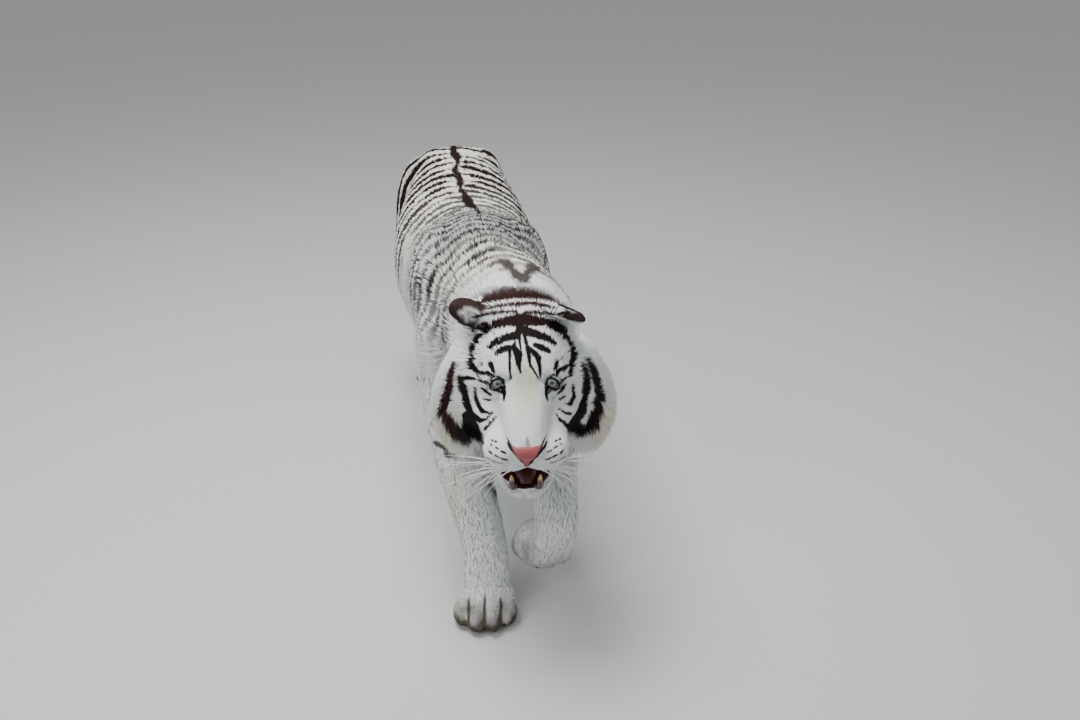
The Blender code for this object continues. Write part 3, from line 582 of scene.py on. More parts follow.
    def limbs(self, points: np.ndarray) -> np.ndarray:
        """Darkness of the few spots on the forelegs and of the rings on the tail.

        Args:
            points: Places in the row frame, one row each.

        Returns:
            A value from 0 to 1 at each place.
        """
        place = points - WITHERS
        dark = np.zeros(len(points))
        for middle, half in LEG_SPOTS:
            gone = np.linalg.norm((place - middle) / half, axis=1)
            dark = np.maximum(dark, 0.92 * smooth(1.20, 0.80, gone + 0.30 * noise(points, 0.014, 11.0)))
        step = np.linalg.norm(np.diff(TAIL_MIDDLE, axis=0), axis=1)
        run = np.concatenate(([0.0], np.cumsum(step)))
        best = np.full(len(points), 1e9)
        along = np.zeros(len(points))
        for first, second, begin, length in zip(TAIL_MIDDLE, TAIL_MIDDLE[1:], run, step):
            t = np.clip((points - first) @ (second - first) / length ** 2, 0, 1)
            gone = np.linalg.norm(points - first - t[:, None] * (second - first), axis=1)
            closer = gone < best
            best = np.where(closer, gone, best)
            along = np.where(closer, begin + t * length, along)
        on_tail = smooth(1.02, 1.06, place[:, 1]) * (best < 0.06)
        part = np.modf(along / self.ring_pitch + 0.12 * noise(points, 0.04, 12.0) + 9.0)[0]
        off = np.abs(part - 0.5) - self.ring_width
        rings = smooth(0.05, -0.05, off - 0.05 * noise(points, 0.02, 13.0))
        tip = run[-1] - self.tail_tip
        rings = np.maximum(rings, smooth(tip - 0.015, tip, along))
        return np.maximum(dark, rings * on_tail)

    def ears(self, points: np.ndarray) -> np.ndarray:
        """Darkness of the ears' backs, with the pale spot that each bears.

        Args:
            points: Places in the row frame, one row each.

        Returns:
            A value from 0 to 1 at each place.
        """
        local = to_frame(HEAD, points)
        dark = np.zeros(len(points))
        for start, end, spot, back in EAR_MARKS:
            axis = np.array(end) - np.array(start)
            t = (local - start) @ axis / (axis @ axis)
            off = local - start - np.clip(t, 0, 1)[:, None] * axis
            ear = smooth(self.ear_reach, self.ear_reach - 0.007, np.linalg.norm(off, axis=1))
            ear *= smooth(-0.25, 0.0, t)
            ear *= smooth(-0.007, -0.001, off @ np.array(back))
            patch = np.linalg.norm(local - spot, axis=1) + 0.006 * noise(points, 0.012, 23.0)
            mottled = 0.48 + 0.45 * noise(points, 0.007, 26.0)
            dark = np.maximum(dark, self.ear_dark * ear * (1.0 - mottled * smooth(0.026, 0.013, patch)))
        return dark

    def stripe(self, points: np.ndarray) -> np.ndarray:
        """Darkness of all markings together.

        Args:
            points: Places in the row frame, one row each.

        Returns:
            A value from 0 to 1 at each place.
        """
        local = to_frame(HEAD, points)
        head = self.head_mask(local) * (points[:, 1] < HEAD_BACK)
        body = np.maximum(np.maximum(self.flanks(points), self.spine(points)), self.nape(points))
        body = np.maximum(body * smooth(-0.29, -0.25, points[:, 1] - WITHERS[1]), self.limbs(points))
        return np.maximum(body * (1 - head), np.maximum(self.strokes(points), self.ears(points)))

    def warmth(self, points: np.ndarray) -> np.ndarray:
        """Where the white is creamy or yellow: nape, bridge of the nose, ruff's lower edge.

        Args:
            points: Places in the row frame, one row each.

        Returns:
            A value from 0 to 1 at each place.
        """
        across, up, local = self.face_plane(points)
        bridge = smooth(34, 10, np.abs(across)) * smooth(-120, -30, up) * smooth(95, 40, up)
        bridge *= local[:, 1] < 0.12
        ruff = smooth(120, 160, np.abs(across)) * smooth(-20, -90, up) * self.head_mask(local)
        place = points - WITHERS
        nape = smooth(-0.24, -0.17, place[:, 1]) * smooth(-0.02, -0.12, place[:, 1])
        nape *= smooth(0.72, 0.80, place[:, 2])
        body = 0.35 + 0.2 * noise(points, 0.16, 15.0)
        body *= smooth(-0.1, 0.15, place[:, 1])
        return np.clip(0.8 * bridge + 0.75 * ruff + 0.6 * nape + body, 0, 1)

    def rust(self, points: np.ndarray) -> np.ndarray:
        """Where the dark marks are brown: back of the crown, edge of the ruff, nape and spine.

        Args:
            points: Places in the row frame, one row each.

        Returns:
            A value from 0 to 1 at each place.
        """
        across, up, local = self.face_plane(points)
        crown = smooth(150, 170, up)
        outer = smooth(-120, -160, across) * 0.8 + 0.35 * smooth(130, 165, across)
        head = self.head_mask(local) * np.maximum(crown, outer)
        place = points - WITHERS
        vee = 0.6 * smooth(-0.15, -0.18, place[:, 1]) * smooth(0.74, 0.79, place[:, 2])
        return np.clip(np.maximum(head, np.maximum(vee, 0.40 * smooth(0.10, 0.30, place[:, 1]))), 0, 1)

    def soil(self, points: np.ndarray) -> np.ndarray:
        """Soil on the toes and a little up the paws, and painted shade in the creases between the toes.

        Args:
            points: Places in the row frame, one row each.

        Returns:
            A value from 0 to 1 at each place.
        """
        place = points - WITHERS
        low = smooth(0.045, 0.006, place[:, 2])
        toes = smooth(-0.350, -0.405, place[:, 1]) * smooth(0.100, 0.035, place[:, 2])
        hanging = smooth(0.15, 0.09, place[:, 2]) * (place[:, 0] > 0.03) * (place[:, 1] < -0.20)
        # A darker olive patch on the inner side of the lifted paw.
        inner = np.linalg.norm((place - (0.062, -0.335, 0.150)) / (0.030, 0.06, 0.045), axis=1)
        grime = 0.70 * low + 0.72 * toes + 0.40 * hanging + 0.45 * smooth(1.1, 0.4, inner)
        grime *= 0.90 + 0.45 * noise(points, 0.02, 24.0)
        # Painted shade: dark lines along the creases between the toes.
        for paw in PAWS:
            local = to_frame(paw, points)
            on_toes = smooth(-0.035, -0.055, local[:, 1]) * (local[:, 2] < 0.09) * (local[:, 1] > -0.12)
            near = np.min([np.abs(local[:, 0] - gap) for gap in TOE_GAPS], axis=0)
            grime += 0.75 * on_toes * smooth(0.0055, 0.0010, near) * (np.abs(local[:, 0]) < 0.08)
        return np.clip(grime, 0, 1)

    def bare(self, points: np.ndarray) -> np.ndarray:
        """Where the skin is bare and painted dark red: inside the mouth, on its lips, and over the open
        mouth as seen from the front. The dark red is partly the lips' own dark colour and partly painted
        shade inside the open mouth.

        Args:
            points: Places in the row frame, one row each.

        Returns:
            A value from 0 to 1 at each place.
        """
        local = to_frame(HEAD, points)
        x, y, z = local.T
        ahead = -y
        middle = np.interp(ahead, MOUTH_AHEAD, MOUTH_MIDDLE)
        wide = np.interp(ahead, MOUTH_AHEAD, MOUTH_WIDE)
        tall = np.interp(ahead, MOUTH_AHEAD, MOUTH_TALL)
        reach = np.hypot(x / wide, (z - middle) / tall)
        edge = np.where(z < middle, 1.27, 1.10)
        hollow = smooth(0.04, -0.04, reach - edge) * (y < 0.050) * (y > -0.150)
        across, up, _ = self.face_plane(points)
        # Painted shade: the open mouth's outline seen from the front is painted dark red on whatever skin
        # lies there.
        outside = np.maximum(up - np.interp(across, *GAPE_TOP), np.interp(across, *GAPE_FOOT) - up)
        return np.maximum(hollow, smooth(1.5, -1.5, outside) * (y < 0.03))


# --- finishes ----------------------------------------------------------------------

class Shade(Enum):
    """Colours of the animal, as linear red, green and blue."""

    WHITE = (0.80, 0.82, 0.81)
    CREAM = (0.74, 0.69, 0.55)
    STRIPE = (0.0045, 0.0035, 0.0035)
    RUST = (0.028, 0.0085, 0.0065)
    # Olive soil on the paws; the same colour paints shade in the creases between the toes.
    SOIL = (0.105, 0.092, 0.062)
    # Dark red of the lips and the mouth's inside, darkened to stand for painted shade of the open mouth.
    LINING = (0.038, 0.0045, 0.0045)
    LEATHER = (0.33, 0.072, 0.080)
    LEATHER_EDGE = (0.20, 0.035, 0.035)
    # Near black: painted shade inside the nostrils and in the groove below them.
    NOSTRIL = (0.015, 0.008, 0.008)
    RIM = (0.012, 0.008, 0.008)
    # The tongue's red, darkened to painted shade of the open mouth.
    TONGUE = (0.050, 0.0065, 0.0065)
    TOOTH = (0.50, 0.31, 0.085)
    # Brown of the painted shade on the canines above their bright tips.
    TOOTH_ROOT = (0.20, 0.07, 0.02)
    WHISKER = (0.86, 0.85, 0.80)
    FLOOR = (0.62, 0.62, 0.61)

    def rgba(self) -> tuple:
        """The colour with full opacity."""
        return (*self.value, 1.0)


def link_attribute(tree: bpy.types.NodeTree, name: str) -> bpy.types.NodeSocket:
    """The value of a mesh attribute in a node tree.

    Args:
        tree: The node tree to add to.
        name: The attribute's name.

    Returns:
        The value as a socket.
    """
    node = tree.nodes.new("ShaderNodeAttribute")
    node.attribute_name = name
    return node.outputs["Fac"]


def mix_colour(tree: bpy.types.NodeTree, factor: bpy.types.NodeSocket, first: object,
               second: object) -> bpy.types.NodeSocket:
    """Mixes two colours.

    Args:
        tree: The node tree to add to.
        factor: How much of the second colour shows.
        first: A colour, or the socket of one.
        second: A colour, or the socket of one.

    Returns:
        The mixed colour as a socket.
    """
    node = tree.nodes.new("ShaderNodeMix")
    node.data_type = "RGBA"
    tree.links.new(factor, node.inputs["Factor"])
    for socket, value in ((node.inputs[6], first), (node.inputs[7], second)):
        if isinstance(value, tuple):
            socket.default_value = value
        else:
            tree.links.new(value, socket)
    return node.outputs[2]


def new_material(name: str, roughness: float) -> tuple:
    """A material that is still to be coloured.

    Args:
        name: The material's name.
        roughness: Its roughness.

    Returns:
        The material, its node tree and its shader.
    """
    material = bpy.data.materials.new(name)
    material.use_nodes = True
    shader = material.node_tree.nodes["Principled BSDF"]
    shader.inputs["Roughness"].default_value = roughness
    return material, material.node_tree, shader


def plain_material(name: str, shade: Shade, roughness: float) -> bpy.types.Material:
    """A one-colour material.

    Args:
        name: The material's name.
        shade: Its colour.
        roughness: Its roughness.

    Returns:
        The material.
    """
    material, _, shader = new_material(name, roughness)
    shader.inputs["Base Color"].default_value = shade.rgba()
    return material


PELT_INPUTS = ("Warm", "Soil", "Rust", "Stripe", "Bare", "Rim", "Value", "Darker")


def pelt_group() -> bpy.types.NodeTree:
    """The pelt's colour from its masks, as one node group for hide and coat.

    Returns:
        The group, made the first time it is asked for.
    """
    group = bpy.data.node_groups.get("pelt_colour")
    if group:
        return group
    group = bpy.data.node_groups.new("pelt_colour", "ShaderNodeTree")
    for name in PELT_INPUTS:
        group.interface.new_socket(name, in_out="INPUT", socket_type="NodeSocketFloat")
    group.interface.new_socket("Color", in_out="OUTPUT", socket_type="NodeSocketColor")
    given = group.nodes.new("NodeGroupInput").outputs
    result = group.nodes.new("NodeGroupOutput").inputs
    ground = mix_colour(group, given["Warm"], Shade.WHITE.rgba(), Shade.CREAM.rgba())
    soiled = mix_colour(group, given["Soil"], ground, Shade.SOIL.rgba())
    dark = mix_colour(group, given["Rust"], Shade.STRIPE.rgba(), Shade.RUST.rgba())
    marked = mix_colour(group, given["Stripe"], soiled, dark)
    lined = mix_colour(group, given["Bare"], marked, Shade.LINING.rgba())
    rimmed = mix_colour(group, given["Rim"], lined, Shade.RIM.rgba())
    # The last two inputs scale the lightness: each lock's own tone, painted shade at the locks' roots and
    # over the whole skin, and painted light at the locks' tips.
    scale = group.nodes.new("ShaderNodeMath")
    scale.operation = "MULTIPLY"
    value = group.nodes.new("ShaderNodeHueSaturation")
    group.links.new(given["Value"], scale.inputs[0])
    group.links.new(given["Darker"], scale.inputs[1])
    group.links.new(scale.outputs[0], value.inputs["Value"])
    group.links.new(rimmed, value.inputs["Color"])
    group.links.new(value.outputs["Color"], result["Color"])
    return group


@dataclass(frozen=True)
class PeltFinish:
    """Fur or furred skin, coloured by its masks, with painted shade where darker is below 1."""

    name: str
    # Below 1 this is painted shade: the skin uses it so that the gaps between the locks look shadowed.
    darker: float = 1.0
    roughness: float = 0.75
    gloss: float = 0.12
    bump: float = 0.0
    bump_depth: float = 0.002
    grain: float = 350.0

    def build(self) -> bpy.types.Material:
        """The pelt's material, which reads the masks warm, soil, rust, stripe, bare, rim and value.

        Returns:
            The material.
        """
        material, tree, shader = new_material(self.name, self.roughness)
        pelt = tree.nodes.new("ShaderNodeGroup")
        pelt.node_tree = pelt_group()
        for name in PELT_INPUTS[:-1]:
            tree.links.new(link_attribute(tree, name.lower()), pelt.inputs[name])
        pelt.inputs["Darker"].default_value = self.darker
        tree.links.new(pelt.outputs["Color"], shader.inputs["Base Color"])
        shader.inputs["Specular IOR Level"].default_value = self.gloss
        if self.bump:
            place = tree.nodes.new("ShaderNodeTexCoord")
            grain = tree.nodes.new("ShaderNodeTexNoise")
            grain.inputs["Scale"].default_value = self.grain
            bump = tree.nodes.new("ShaderNodeBump")
            bump.inputs["Strength"].default_value = self.bump
            bump.inputs["Distance"].default_value = self.bump_depth
            tree.links.new(place.outputs["Object"], grain.inputs["Vector"])
            tree.links.new(grain.outputs["Fac"], bump.inputs["Height"])
            tree.links.new(bump.outputs["Normal"], shader.inputs["Normal"])
        return material


@dataclass(frozen=True)
class RampFinish:
    """A material coloured by a ramp over one mesh attribute."""

    name: str
    attribute: str
    stops: tuple
    roughness: float = 0.4
    coat: float = 0.0
    coat_roughness: float = 0.04

    def build(self) -> bpy.types.Material:
        """The material with its ramp.

        Returns:
            The material.
        """
        material, tree, shader = new_material(self.name, self.roughness)
        ramp = tree.nodes.new("ShaderNodeValToRGB")
        while len(ramp.color_ramp.elements) < len(self.stops):
            ramp.color_ramp.elements.new(0.5)
        for element, (position, colour) in zip(ramp.color_ramp.elements, self.stops):
            element.position = position
            element.color = (*colour, 1.0)
        tree.links.new(link_attribute(tree, self.attribute), ramp.inputs["Fac"])
        tree.links.new(ramp.outputs["Color"], shader.inputs["Base Color"])
        shader.inputs["Coat Weight"].default_value = self.coat
        shader.inputs["Coat Roughness"].default_value = self.coat_roughness
        return material


# --- making meshes --------------------------------------------------------------------

def new_piece(name: str, points: np.ndarray, faces: object) -> bpy.types.Object:
    """An object from points and faces.

    Args:
        name: Name of the object and its mesh.
        points: Its vertices.
        faces: Its faces, as lists of point numbers.

    Returns:
        The object, in the scene.
    """
    mesh = bpy.data.meshes.new(name)
    mesh.from_pydata(points.tolist(), [], faces)
    made = bpy.data.objects.new(name, mesh)
    bpy.context.scene.collection.objects.link(made)
    return made


WELD = 0.00002


def welded_copy(node: str, grow: float = 0.0) -> bpy.types.Object:
    """A copy of a node's mesh with its doubles merged, swollen a little where asked.

    Args:
        node: The node's name.
        grow: How far every vertex moves outwards.

    Returns:
        The copy, in the scene.
    """
    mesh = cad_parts[node].data.copy()
    item = bpy.data.objects.new(node + "_look", mesh)
    bpy.context.scene.collection.objects.link(item)
    bm = bmesh.new()
    bm.from_mesh(mesh)
    bmesh.ops.remove_doubles(bm, verts=bm.verts, dist=WELD)
    bmesh.ops.recalc_face_normals(bm, faces=bm.faces)
    bm.normal_update()
    for vert in bm.verts:
        vert.co += vert.normal * grow
    bm.to_mesh(mesh)
    bm.free()
    return item


def surface(item: bpy.types.Object) -> tuple:
    """Points and normals of an object's vertices.

    Args:
        item: A mesh object.

    Returns:
        Places and normals, one row each.
    """
    count = len(item.data.vertices)
    points = np.empty(count * 3, np.float32)
    normals = np.empty(count * 3, np.float32)
    item.data.vertices.foreach_get("co", points)
    item.data.vertex_normals.foreach_get("vector", normals)
    return points.reshape(-1, 3).astype(float), normals.reshape(-1, 3).astype(float)


def only_select(item: bpy.types.Object) -> None:
    """Deselects everything else and makes the item active.

    Args:
        item: The object to be alone in the selection.
    """
    for other in bpy.context.selected_objects:
        other.select_set(False)
    item.select_set(True)
    bpy.context.view_layer.objects.active = item


def outwards(item: bpy.types.Object) -> None:
    """Recalculates an object's normals to the outside.

    Args:
        item: A closed mesh object.
    """
    bm = bmesh.new()
    bm.from_mesh(item.data)
    bmesh.ops.recalc_face_normals(bm, faces=bm.faces)
    bm.to_mesh(item.data)
    bm.free()


def set_attribute(item: bpy.types.Object, name: str, values: np.ndarray) -> None:
    """Stores one number per vertex."""
    layer = item.data.attributes.new(name, "FLOAT", "POINT")
    layer.data.foreach_set("value", np.ascontiguousarray(values, np.float32))


def dress(item: bpy.types.Object, material: bpy.types.Material,
          replaced: tuple = ()) -> bpy.types.Object:
    """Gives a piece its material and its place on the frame.

    Args:
        item: The piece.
        material: What it is made of.
        replaced: The nodes that it stands in for.

    Returns:
        The piece.
    """
    item.data.materials.clear()
    item.data.materials.append(material)
    item.data.polygons.foreach_set("use_smooth", [True] * len(item.data.polygons))
    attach(item, "root")
    if replaced:
        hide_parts(*replaced)
    LOG.info("%s: %d faces", item.name, len(item.data.polygons))
    return item


def joined(name: str, items: list) -> bpy.types.Object:
    """Several objects made one.

    Args:
        name: Name of the joined object.
        items: The objects, the first of which stays.

    Returns:
        The joined object.
    """
    only_select(items[0])
    for item in items:
        item.select_set(True)
    bpy.ops.object.join()
    items[0].name = name
    items[0].data.name = name
    return items[0]


def apply_modifiers(item: bpy.types.Object) -> None:
    """Applies every modifier in turn.

    Args:
        item: The object that has them.
    """
    only_select(item)
    for modifier in list(item.modifiers):
        bpy.ops.object.modifier_apply(modifier=modifier.name)


# --- the hide ---------------------------------------------------------------------------

BEHIND_EYE = 9.0


@dataclass(frozen=True)
class EyeSeat:
    """Where an eyeball sits in the head, and the opening of its lids."""

    side: int
    place: tuple = (0.05825, 0.0075, 0.001)
    radius: float = 0.0205
    half_width: float = 0.0180
    upper: float = 0.0132
    lower: float = 0.0036
    drop: float = 0.0066
    inward: float = 0.0006
    tilt: float = 33.0
    spread: float = 0.16
    unit_gap: float = 0.0104
    clearance: float = 0.0016
    slope: float = 0.0075
    carve_from: float = 1.05
    carve_to: float = 2.2

    @property
    def centre(self) -> Vector:
        """The eyeball's centre in the row frame."""
        return HEAD @ Vector((self.side * self.place[0], *self.place[1:]))

    def axes(self) -> tuple:
        """Right, up and outward directions of the opening, in the row frame.

        Returns:
            Three directions, square to each other.
        """
        turn = HEAD.to_3x3()
        out = turn @ Vector((GAZE.x + self.spread * self.side, GAZE.y, GAZE.z)).normalized()
        across = (turn @ Vector((1.0, 0.0, 0.0))).cross(out).cross(out).normalized() * -1.0
        across = Matrix.Rotation(math.radians(-self.tilt * self.side), 3, out) @ across
        return across, out.cross(across), out

    def opening(self, points: np.ndarray) -> np.ndarray:
        """How far out of the opening a place is: 1 on its edge, less inside.

        Args:
            points: Places in the row frame, one row each.

        Returns:
            1 on the opening's edge, less inside it, more outside.
        """
        across, up, out = (np.array(axis) for axis in self.axes())
        gone = points - np.array(self.centre)
        x = gone @ across + self.side * self.inward
        z = gone @ up + self.drop
        half = np.where(z > 0, self.upper, self.lower)
        level = np.maximum(np.hypot(x / self.half_width, z / half), 1e-6)
        slope = np.hypot(x / self.half_width ** 2, z / half ** 2) / level
        reach = 1.0 + (level - 1.0) / np.maximum(slope, 1.0) / self.unit_gap
        return np.where(gone @ out > 0, reach, BEHIND_EYE)

    def carved(self, points: np.ndarray) -> np.ndarray:
        """The points moved back where they would cover the opening.

        Args:
            points: Places in the row frame, one row each.

        Returns:
            The places, moved towards the eyeball's centre where they must.
        """
        centre = np.array(self.centre)
        gone = points - centre
        far = np.linalg.norm(gone, axis=1)
        reach = self.opening(points)
        allowed = self.radius - self.clearance + self.slope * np.clip(reach - self.carve_from, 0.0, None)
        pushed = np.where(reach < self.carve_to, np.minimum(far, allowed), far)
        blend = smooth(self.carve_to, 1.6, reach)
        pushed = far + (pushed - far) * blend
        return centre + gone * (pushed / np.maximum(far, 1e-6))[:, None]


EYES = (EyeSeat(1), EyeSeat(-1))


NOSE_TOP = -0.0575
NOSE_FOOT = -0.113
NOSE_BACK = -0.10
BEFORE_FACE = -0.26


def nose_share(height: np.ndarray) -> np.ndarray:
    """How far down the nose leather a height is, from 0 at its top to 1 at the lip."""
    return (NOSE_TOP - height) / (NOSE_TOP - NOSE_FOOT)


def nose_half_width(down: np.ndarray) -> np.ndarray:
    """Half the nose leather's width, from 0 at its top to 1 at the lip."""
    left = np.clip(1.0 - np.clip(down, 0, 1), 0, 1)
    return 0.0255 * left ** 5 + 0.0125 * left + 0.0022


def strip_faces(rows: int, columns: int, closed: bool) -> list:
    """Quads of a grid of points kept row by row.

    Args:
        rows: How many rows of points.
        columns: How many points a row has.
        closed: Whether each row is a ring.

    Returns:
        The faces as tuples of point numbers.
    """
    faces = []
    for row in range(rows - 1):
        for column in range(columns if closed else columns - 1):
            first, second = row * columns + column, row * columns + (column + 1) % columns
            faces.append((first, second, second + columns, first + columns))
    return faces


def walled(name: str, points: list, faces: list, mask: str, values: list, thickness: float,
           offset: float) -> bpy.types.Object:
    """A sheet of faces given a mask and a wall.

    Args:
        name: The piece's name.
        points: Its vertices.
        faces: Its faces.
        mask: Name of the attribute.
        values: The attribute at each vertex.
        thickness: The wall's thickness.
        offset: -1 for a wall that lies behind the sheet, 0 for both sides.

    Returns:
        The piece.
    """
    made = new_piece(name, np.array(points), faces)
    set_attribute(made, mask, np.array(values))
    solid = made.modifiers.new("solid", "SOLIDIFY")
    solid.thickness = thickness
    solid.offset = offset
    apply_modifiers(made)
    outwards(made)
    return made


@dataclass(frozen=True)
class Lids:
    """The lids of one eye: a ring from the eyeball out to just under the skin.

    share runs from 0 on the lids' edge to 1 where they end in the skin.
    """

    rows: int = 9
    steps: int = 56
    reach: float = 0.0185
    side_reach: float = 0.0200
    under_ball: float = 0.0008
    under_skin: float = 0.0012
    swell: float = 0.0026
    rim: float = 0.30
    rim_corner: float = 0.10
    rim_fade: float = 0.13
    thickness: float = 0.0012

    def place(self, eye: EyeSeat, under: BVHTree, share: float, angle: float) -> Vector:
        """A place on the lids.

        Args:
            eye: The eye's seat.
            under: The skin.
            share: 0 on the lids' edge, 1 in the skin.
            angle: Round the opening, in radians.

        Returns:
            The place.
        """
        across, up, out = eye.axes()
        c, s = math.cos(angle), math.sin(angle)
        half = (eye.upper if s > 0 else eye.lower) + self.reach * share ** 1.3
        x = (eye.half_width + self.side_reach * share ** 1.3) * c - eye.side * eye.inward
        z = half * math.copysign(abs(s) ** (1.15 - 0.15 * share), s) - eye.drop
        flat = across * x + up * z
        height = math.sqrt(max(eye.radius ** 2 - flat.length_squared, 0.0))
        ball = eye.centre + flat + out * (height - self.under_ball)
        hit = under.ray_cast(eye.centre + flat + out * 0.08, -out)[0]
        skin_at = hit - out * self.under_skin if hit else ball
        swell = self.swell * max(0.0, math.sin(math.pi * min(1.0, 0.12 + share * 0.95))) ** 0.7
        return ball.lerp(skin_at, share * share * (3 - 2 * share)) + out * swell

    def build(self, eye: EyeSeat, under: BVHTree) -> bpy.types.Object:
        """Both lids of one eye as one ring.

        Args:
            eye: The eye's seat.
            under: The skin.

        Returns:
            The ring with its rim attribute.
        """
        points, rims = [], []
        for row in range(self.rows):
            share = row / (self.rows - 1)
            for step in range(self.steps):
                angle = 2 * math.pi * step / self.steps
                points.append(self.place(eye, under, share, angle))
                rim = self.rim + self.rim_corner * max(0.0, -math.cos(angle) * eye.side) ** 3
                rims.append(1.0 if share < rim else max(0.0, 1.0 - (share - rim) / self.rim_fade))
        faces = strip_faces(self.rows, self.steps, closed=True)
        return walled("lids", points, faces, "rim", rims, self.thickness, 0.0)


@dataclass
class Skin:
    """The hide: the flesh of every node as one surface that lies under the coat."""

    voxel: float = 0.0037
    overlap: float = 0.0009
    limit: int = 175_000
    calm_rounds: int = 3
    even_rounds: int = 14
    mouth_at: tuple = (0.0, -0.06, -0.155)
    mouth_reach: tuple = (0.075, 0.12, 0.045)

    def flesh(self) -> bpy.types.Object:
        """Copies of the nodes, swollen a little so that they overlap, as one object."""
        eyes = [welded_copy(name) for name in ("eye_left", "eye_right")]
        return joined("skin", [welded_copy(name, self.overlap) for name in FLESH] + eyes)

    def body_share(self, points: np.ndarray) -> np.ndarray:
        """1 where the form is plain, 0 on head and paws.

        Args:
            points: Places in the row frame, one row each.

        Returns:
            A value from 0 to 1 at each place.
        """
        head = smooth(-0.66, -0.70, points[:, 1]) * smooth(0.36, 0.42, points[:, 2])
        front = smooth(-0.70, -0.74, points[:, 1]) * smooth(0.24, 0.20, points[:, 2])
        paws = np.maximum(front, smooth(0.13, 0.09, points[:, 2]))
        return 1.0 - np.maximum(head, paws)

    def fuse(self, item: bpy.types.Object) -> None:
        """Makes the flesh one closed surface, smooth on the body and finer on head and paws.

        Args:
            item: The joined flesh.
        """
        remesh = item.modifiers.new("fuse", "REMESH")
        remesh.mode = "VOXEL"
        remesh.voxel_size = self.voxel
        apply_modifiers(item)
        points, _ = surface(item)
        share = self.body_share(points)
        group = item.vertex_groups.new(name="body")
        for level in range(1, 11):
            chosen = np.nonzero(np.round(share * 10).astype(int) == level)[0]
            group.add(chosen.tolist(), level / 10.0, "REPLACE")
        for name, rounds in (("calm", self.calm_rounds), ("even", self.even_rounds)):
            modifier = item.modifiers.new(name, "SMOOTH")
            modifier.factor = 0.5
            modifier.iterations = rounds
        item.modifiers["even"].vertex_group = group.name
        thin = item.modifiers.new("thin", "DECIMATE")
        thin.ratio = min(1.0, self.limit / (2.0 * len(item.data.polygons)))
        thin.vertex_group = group.name
        apply_modifiers(item)
        item.vertex_groups.clear()

    def sink(self, item: bpy.types.Object) -> None:
        """Moves the surface inwards by the coat's depth and carves the eye openings.

        Args:
            item: The fused flesh.
        """
        points, normals = surface(item)
        depth = coat_at(points).depth
        for eye in EYES:
            gone = np.linalg.norm(points - np.array(eye.centre), axis=1)
            depth *= 0.2 + 0.8 * smooth(0.021, 0.042, gone)
        local = to_frame(HEAD, points)
        mouth = np.linalg.norm((local - self.mouth_at) / self.mouth_reach, axis=1)
        depth *= 0.35 + 0.65 * smooth(1.0, 1.5, mouth)
        points -= normals * depth[:, None]
        for eye in EYES:
            points = eye.carved(points)
        item.data.vertices.foreach_set("co", points.astype(np.float32).ravel())
        item.data.update()

    def build(self, markings: Markings) -> bpy.types.Object:
        """The whole hide with its masks.

        Args:
            markings: The coat's colours.

        Returns:
            The skin, in place of the nodes of flesh.
        """
        item = self.flesh()
        self.fuse(item)
        self.sink(item)
        set_attribute(item, "rim", np.zeros(len(item.data.vertices)))
        under = tree_of(item)
        item = joined("skin", [item] + [Lids().build(eye, under) for eye in EYES])
        points, _ = surface(item)
        for name, values in masks(markings, points).items():
            set_attribute(item, name, values)
        set_attribute(item, "value", np.ones(len(points)))
        # The skin is painted at 0.90 of the coat's lightness: painted shade in the gaps between the locks.
        return dress(item, PeltFinish("tiger_skin", darker=0.90, roughness=0.85, bump=0.25).build(),
                     FLESH)


def tree_of(item: bpy.types.Object) -> BVHTree:
    """A search tree over an object's faces.

    Args:
        item: A mesh object.

    Returns:
        The tree.
    """
    bm = bmesh.new()
    bm.from_mesh(item.data)
    tree = BVHTree.FromBMesh(bm)
    bm.free()
    return tree


def on_face(under: BVHTree, place: Vector) -> Vector:
    """Where the skin lies behind a place of the head's own frame, or None if it isn't met."""
    return under.ray_cast(HEAD @ place, INTO_FACE)[0]


def masks(markings: Markings, points: np.ndarray) -> dict:
    """Every colour mask of the pelt at each place."""
    return {"stripe": markings.stripe(points), "warm": markings.warmth(points),
            "soil": markings.soil(points), "bare": markings.bare(points), "rust": markings.rust(points)}


# --- the coat ------------------------------------------------------------------------------

@dataclass(frozen=True)
class Stem:
    """A stretch of the body like a tube along one axis, round which its coat is unrolled."""

    name: str
    axis: int
    bins: int

    def middle(self, points: np.ndarray, every: np.ndarray) -> np.ndarray:
        """The stem's middle line beside each point, as places on the two other axes.

        Args:
            points: Places on the stem.
            every: All roots of the stem, which say where its middle runs.

        Returns:
            Two columns, one for each of the other axes.
        """
        others = [i for i in range(3) if i != self.axis]
        along = every[:, self.axis]
        edges = np.linspace(along.min(), along.max(), self.bins + 1)
        number = np.clip(np.searchsorted(edges, along) - 1, 0, self.bins - 1)
        at, line = [], []
        for index in range(self.bins):
            ring = every[number == index][:, others]
            if len(ring):
                at.append((edges[index] + edges[index + 1]) / 2)
                line.append((ring.min(axis=0) + ring.max(axis=0)) / 2)
        line = np.array(line)
        return np.stack([np.interp(points[:, self.axis], at, line[:, i]) for i in (0, 1)], axis=1)


@dataclass(frozen=True)
class CoatPiece:
    """One stretch of coat kept as its own object, on one side of its stem or all round it."""

    name: str
    slot: str
    stem: Stem
    half: bool = False


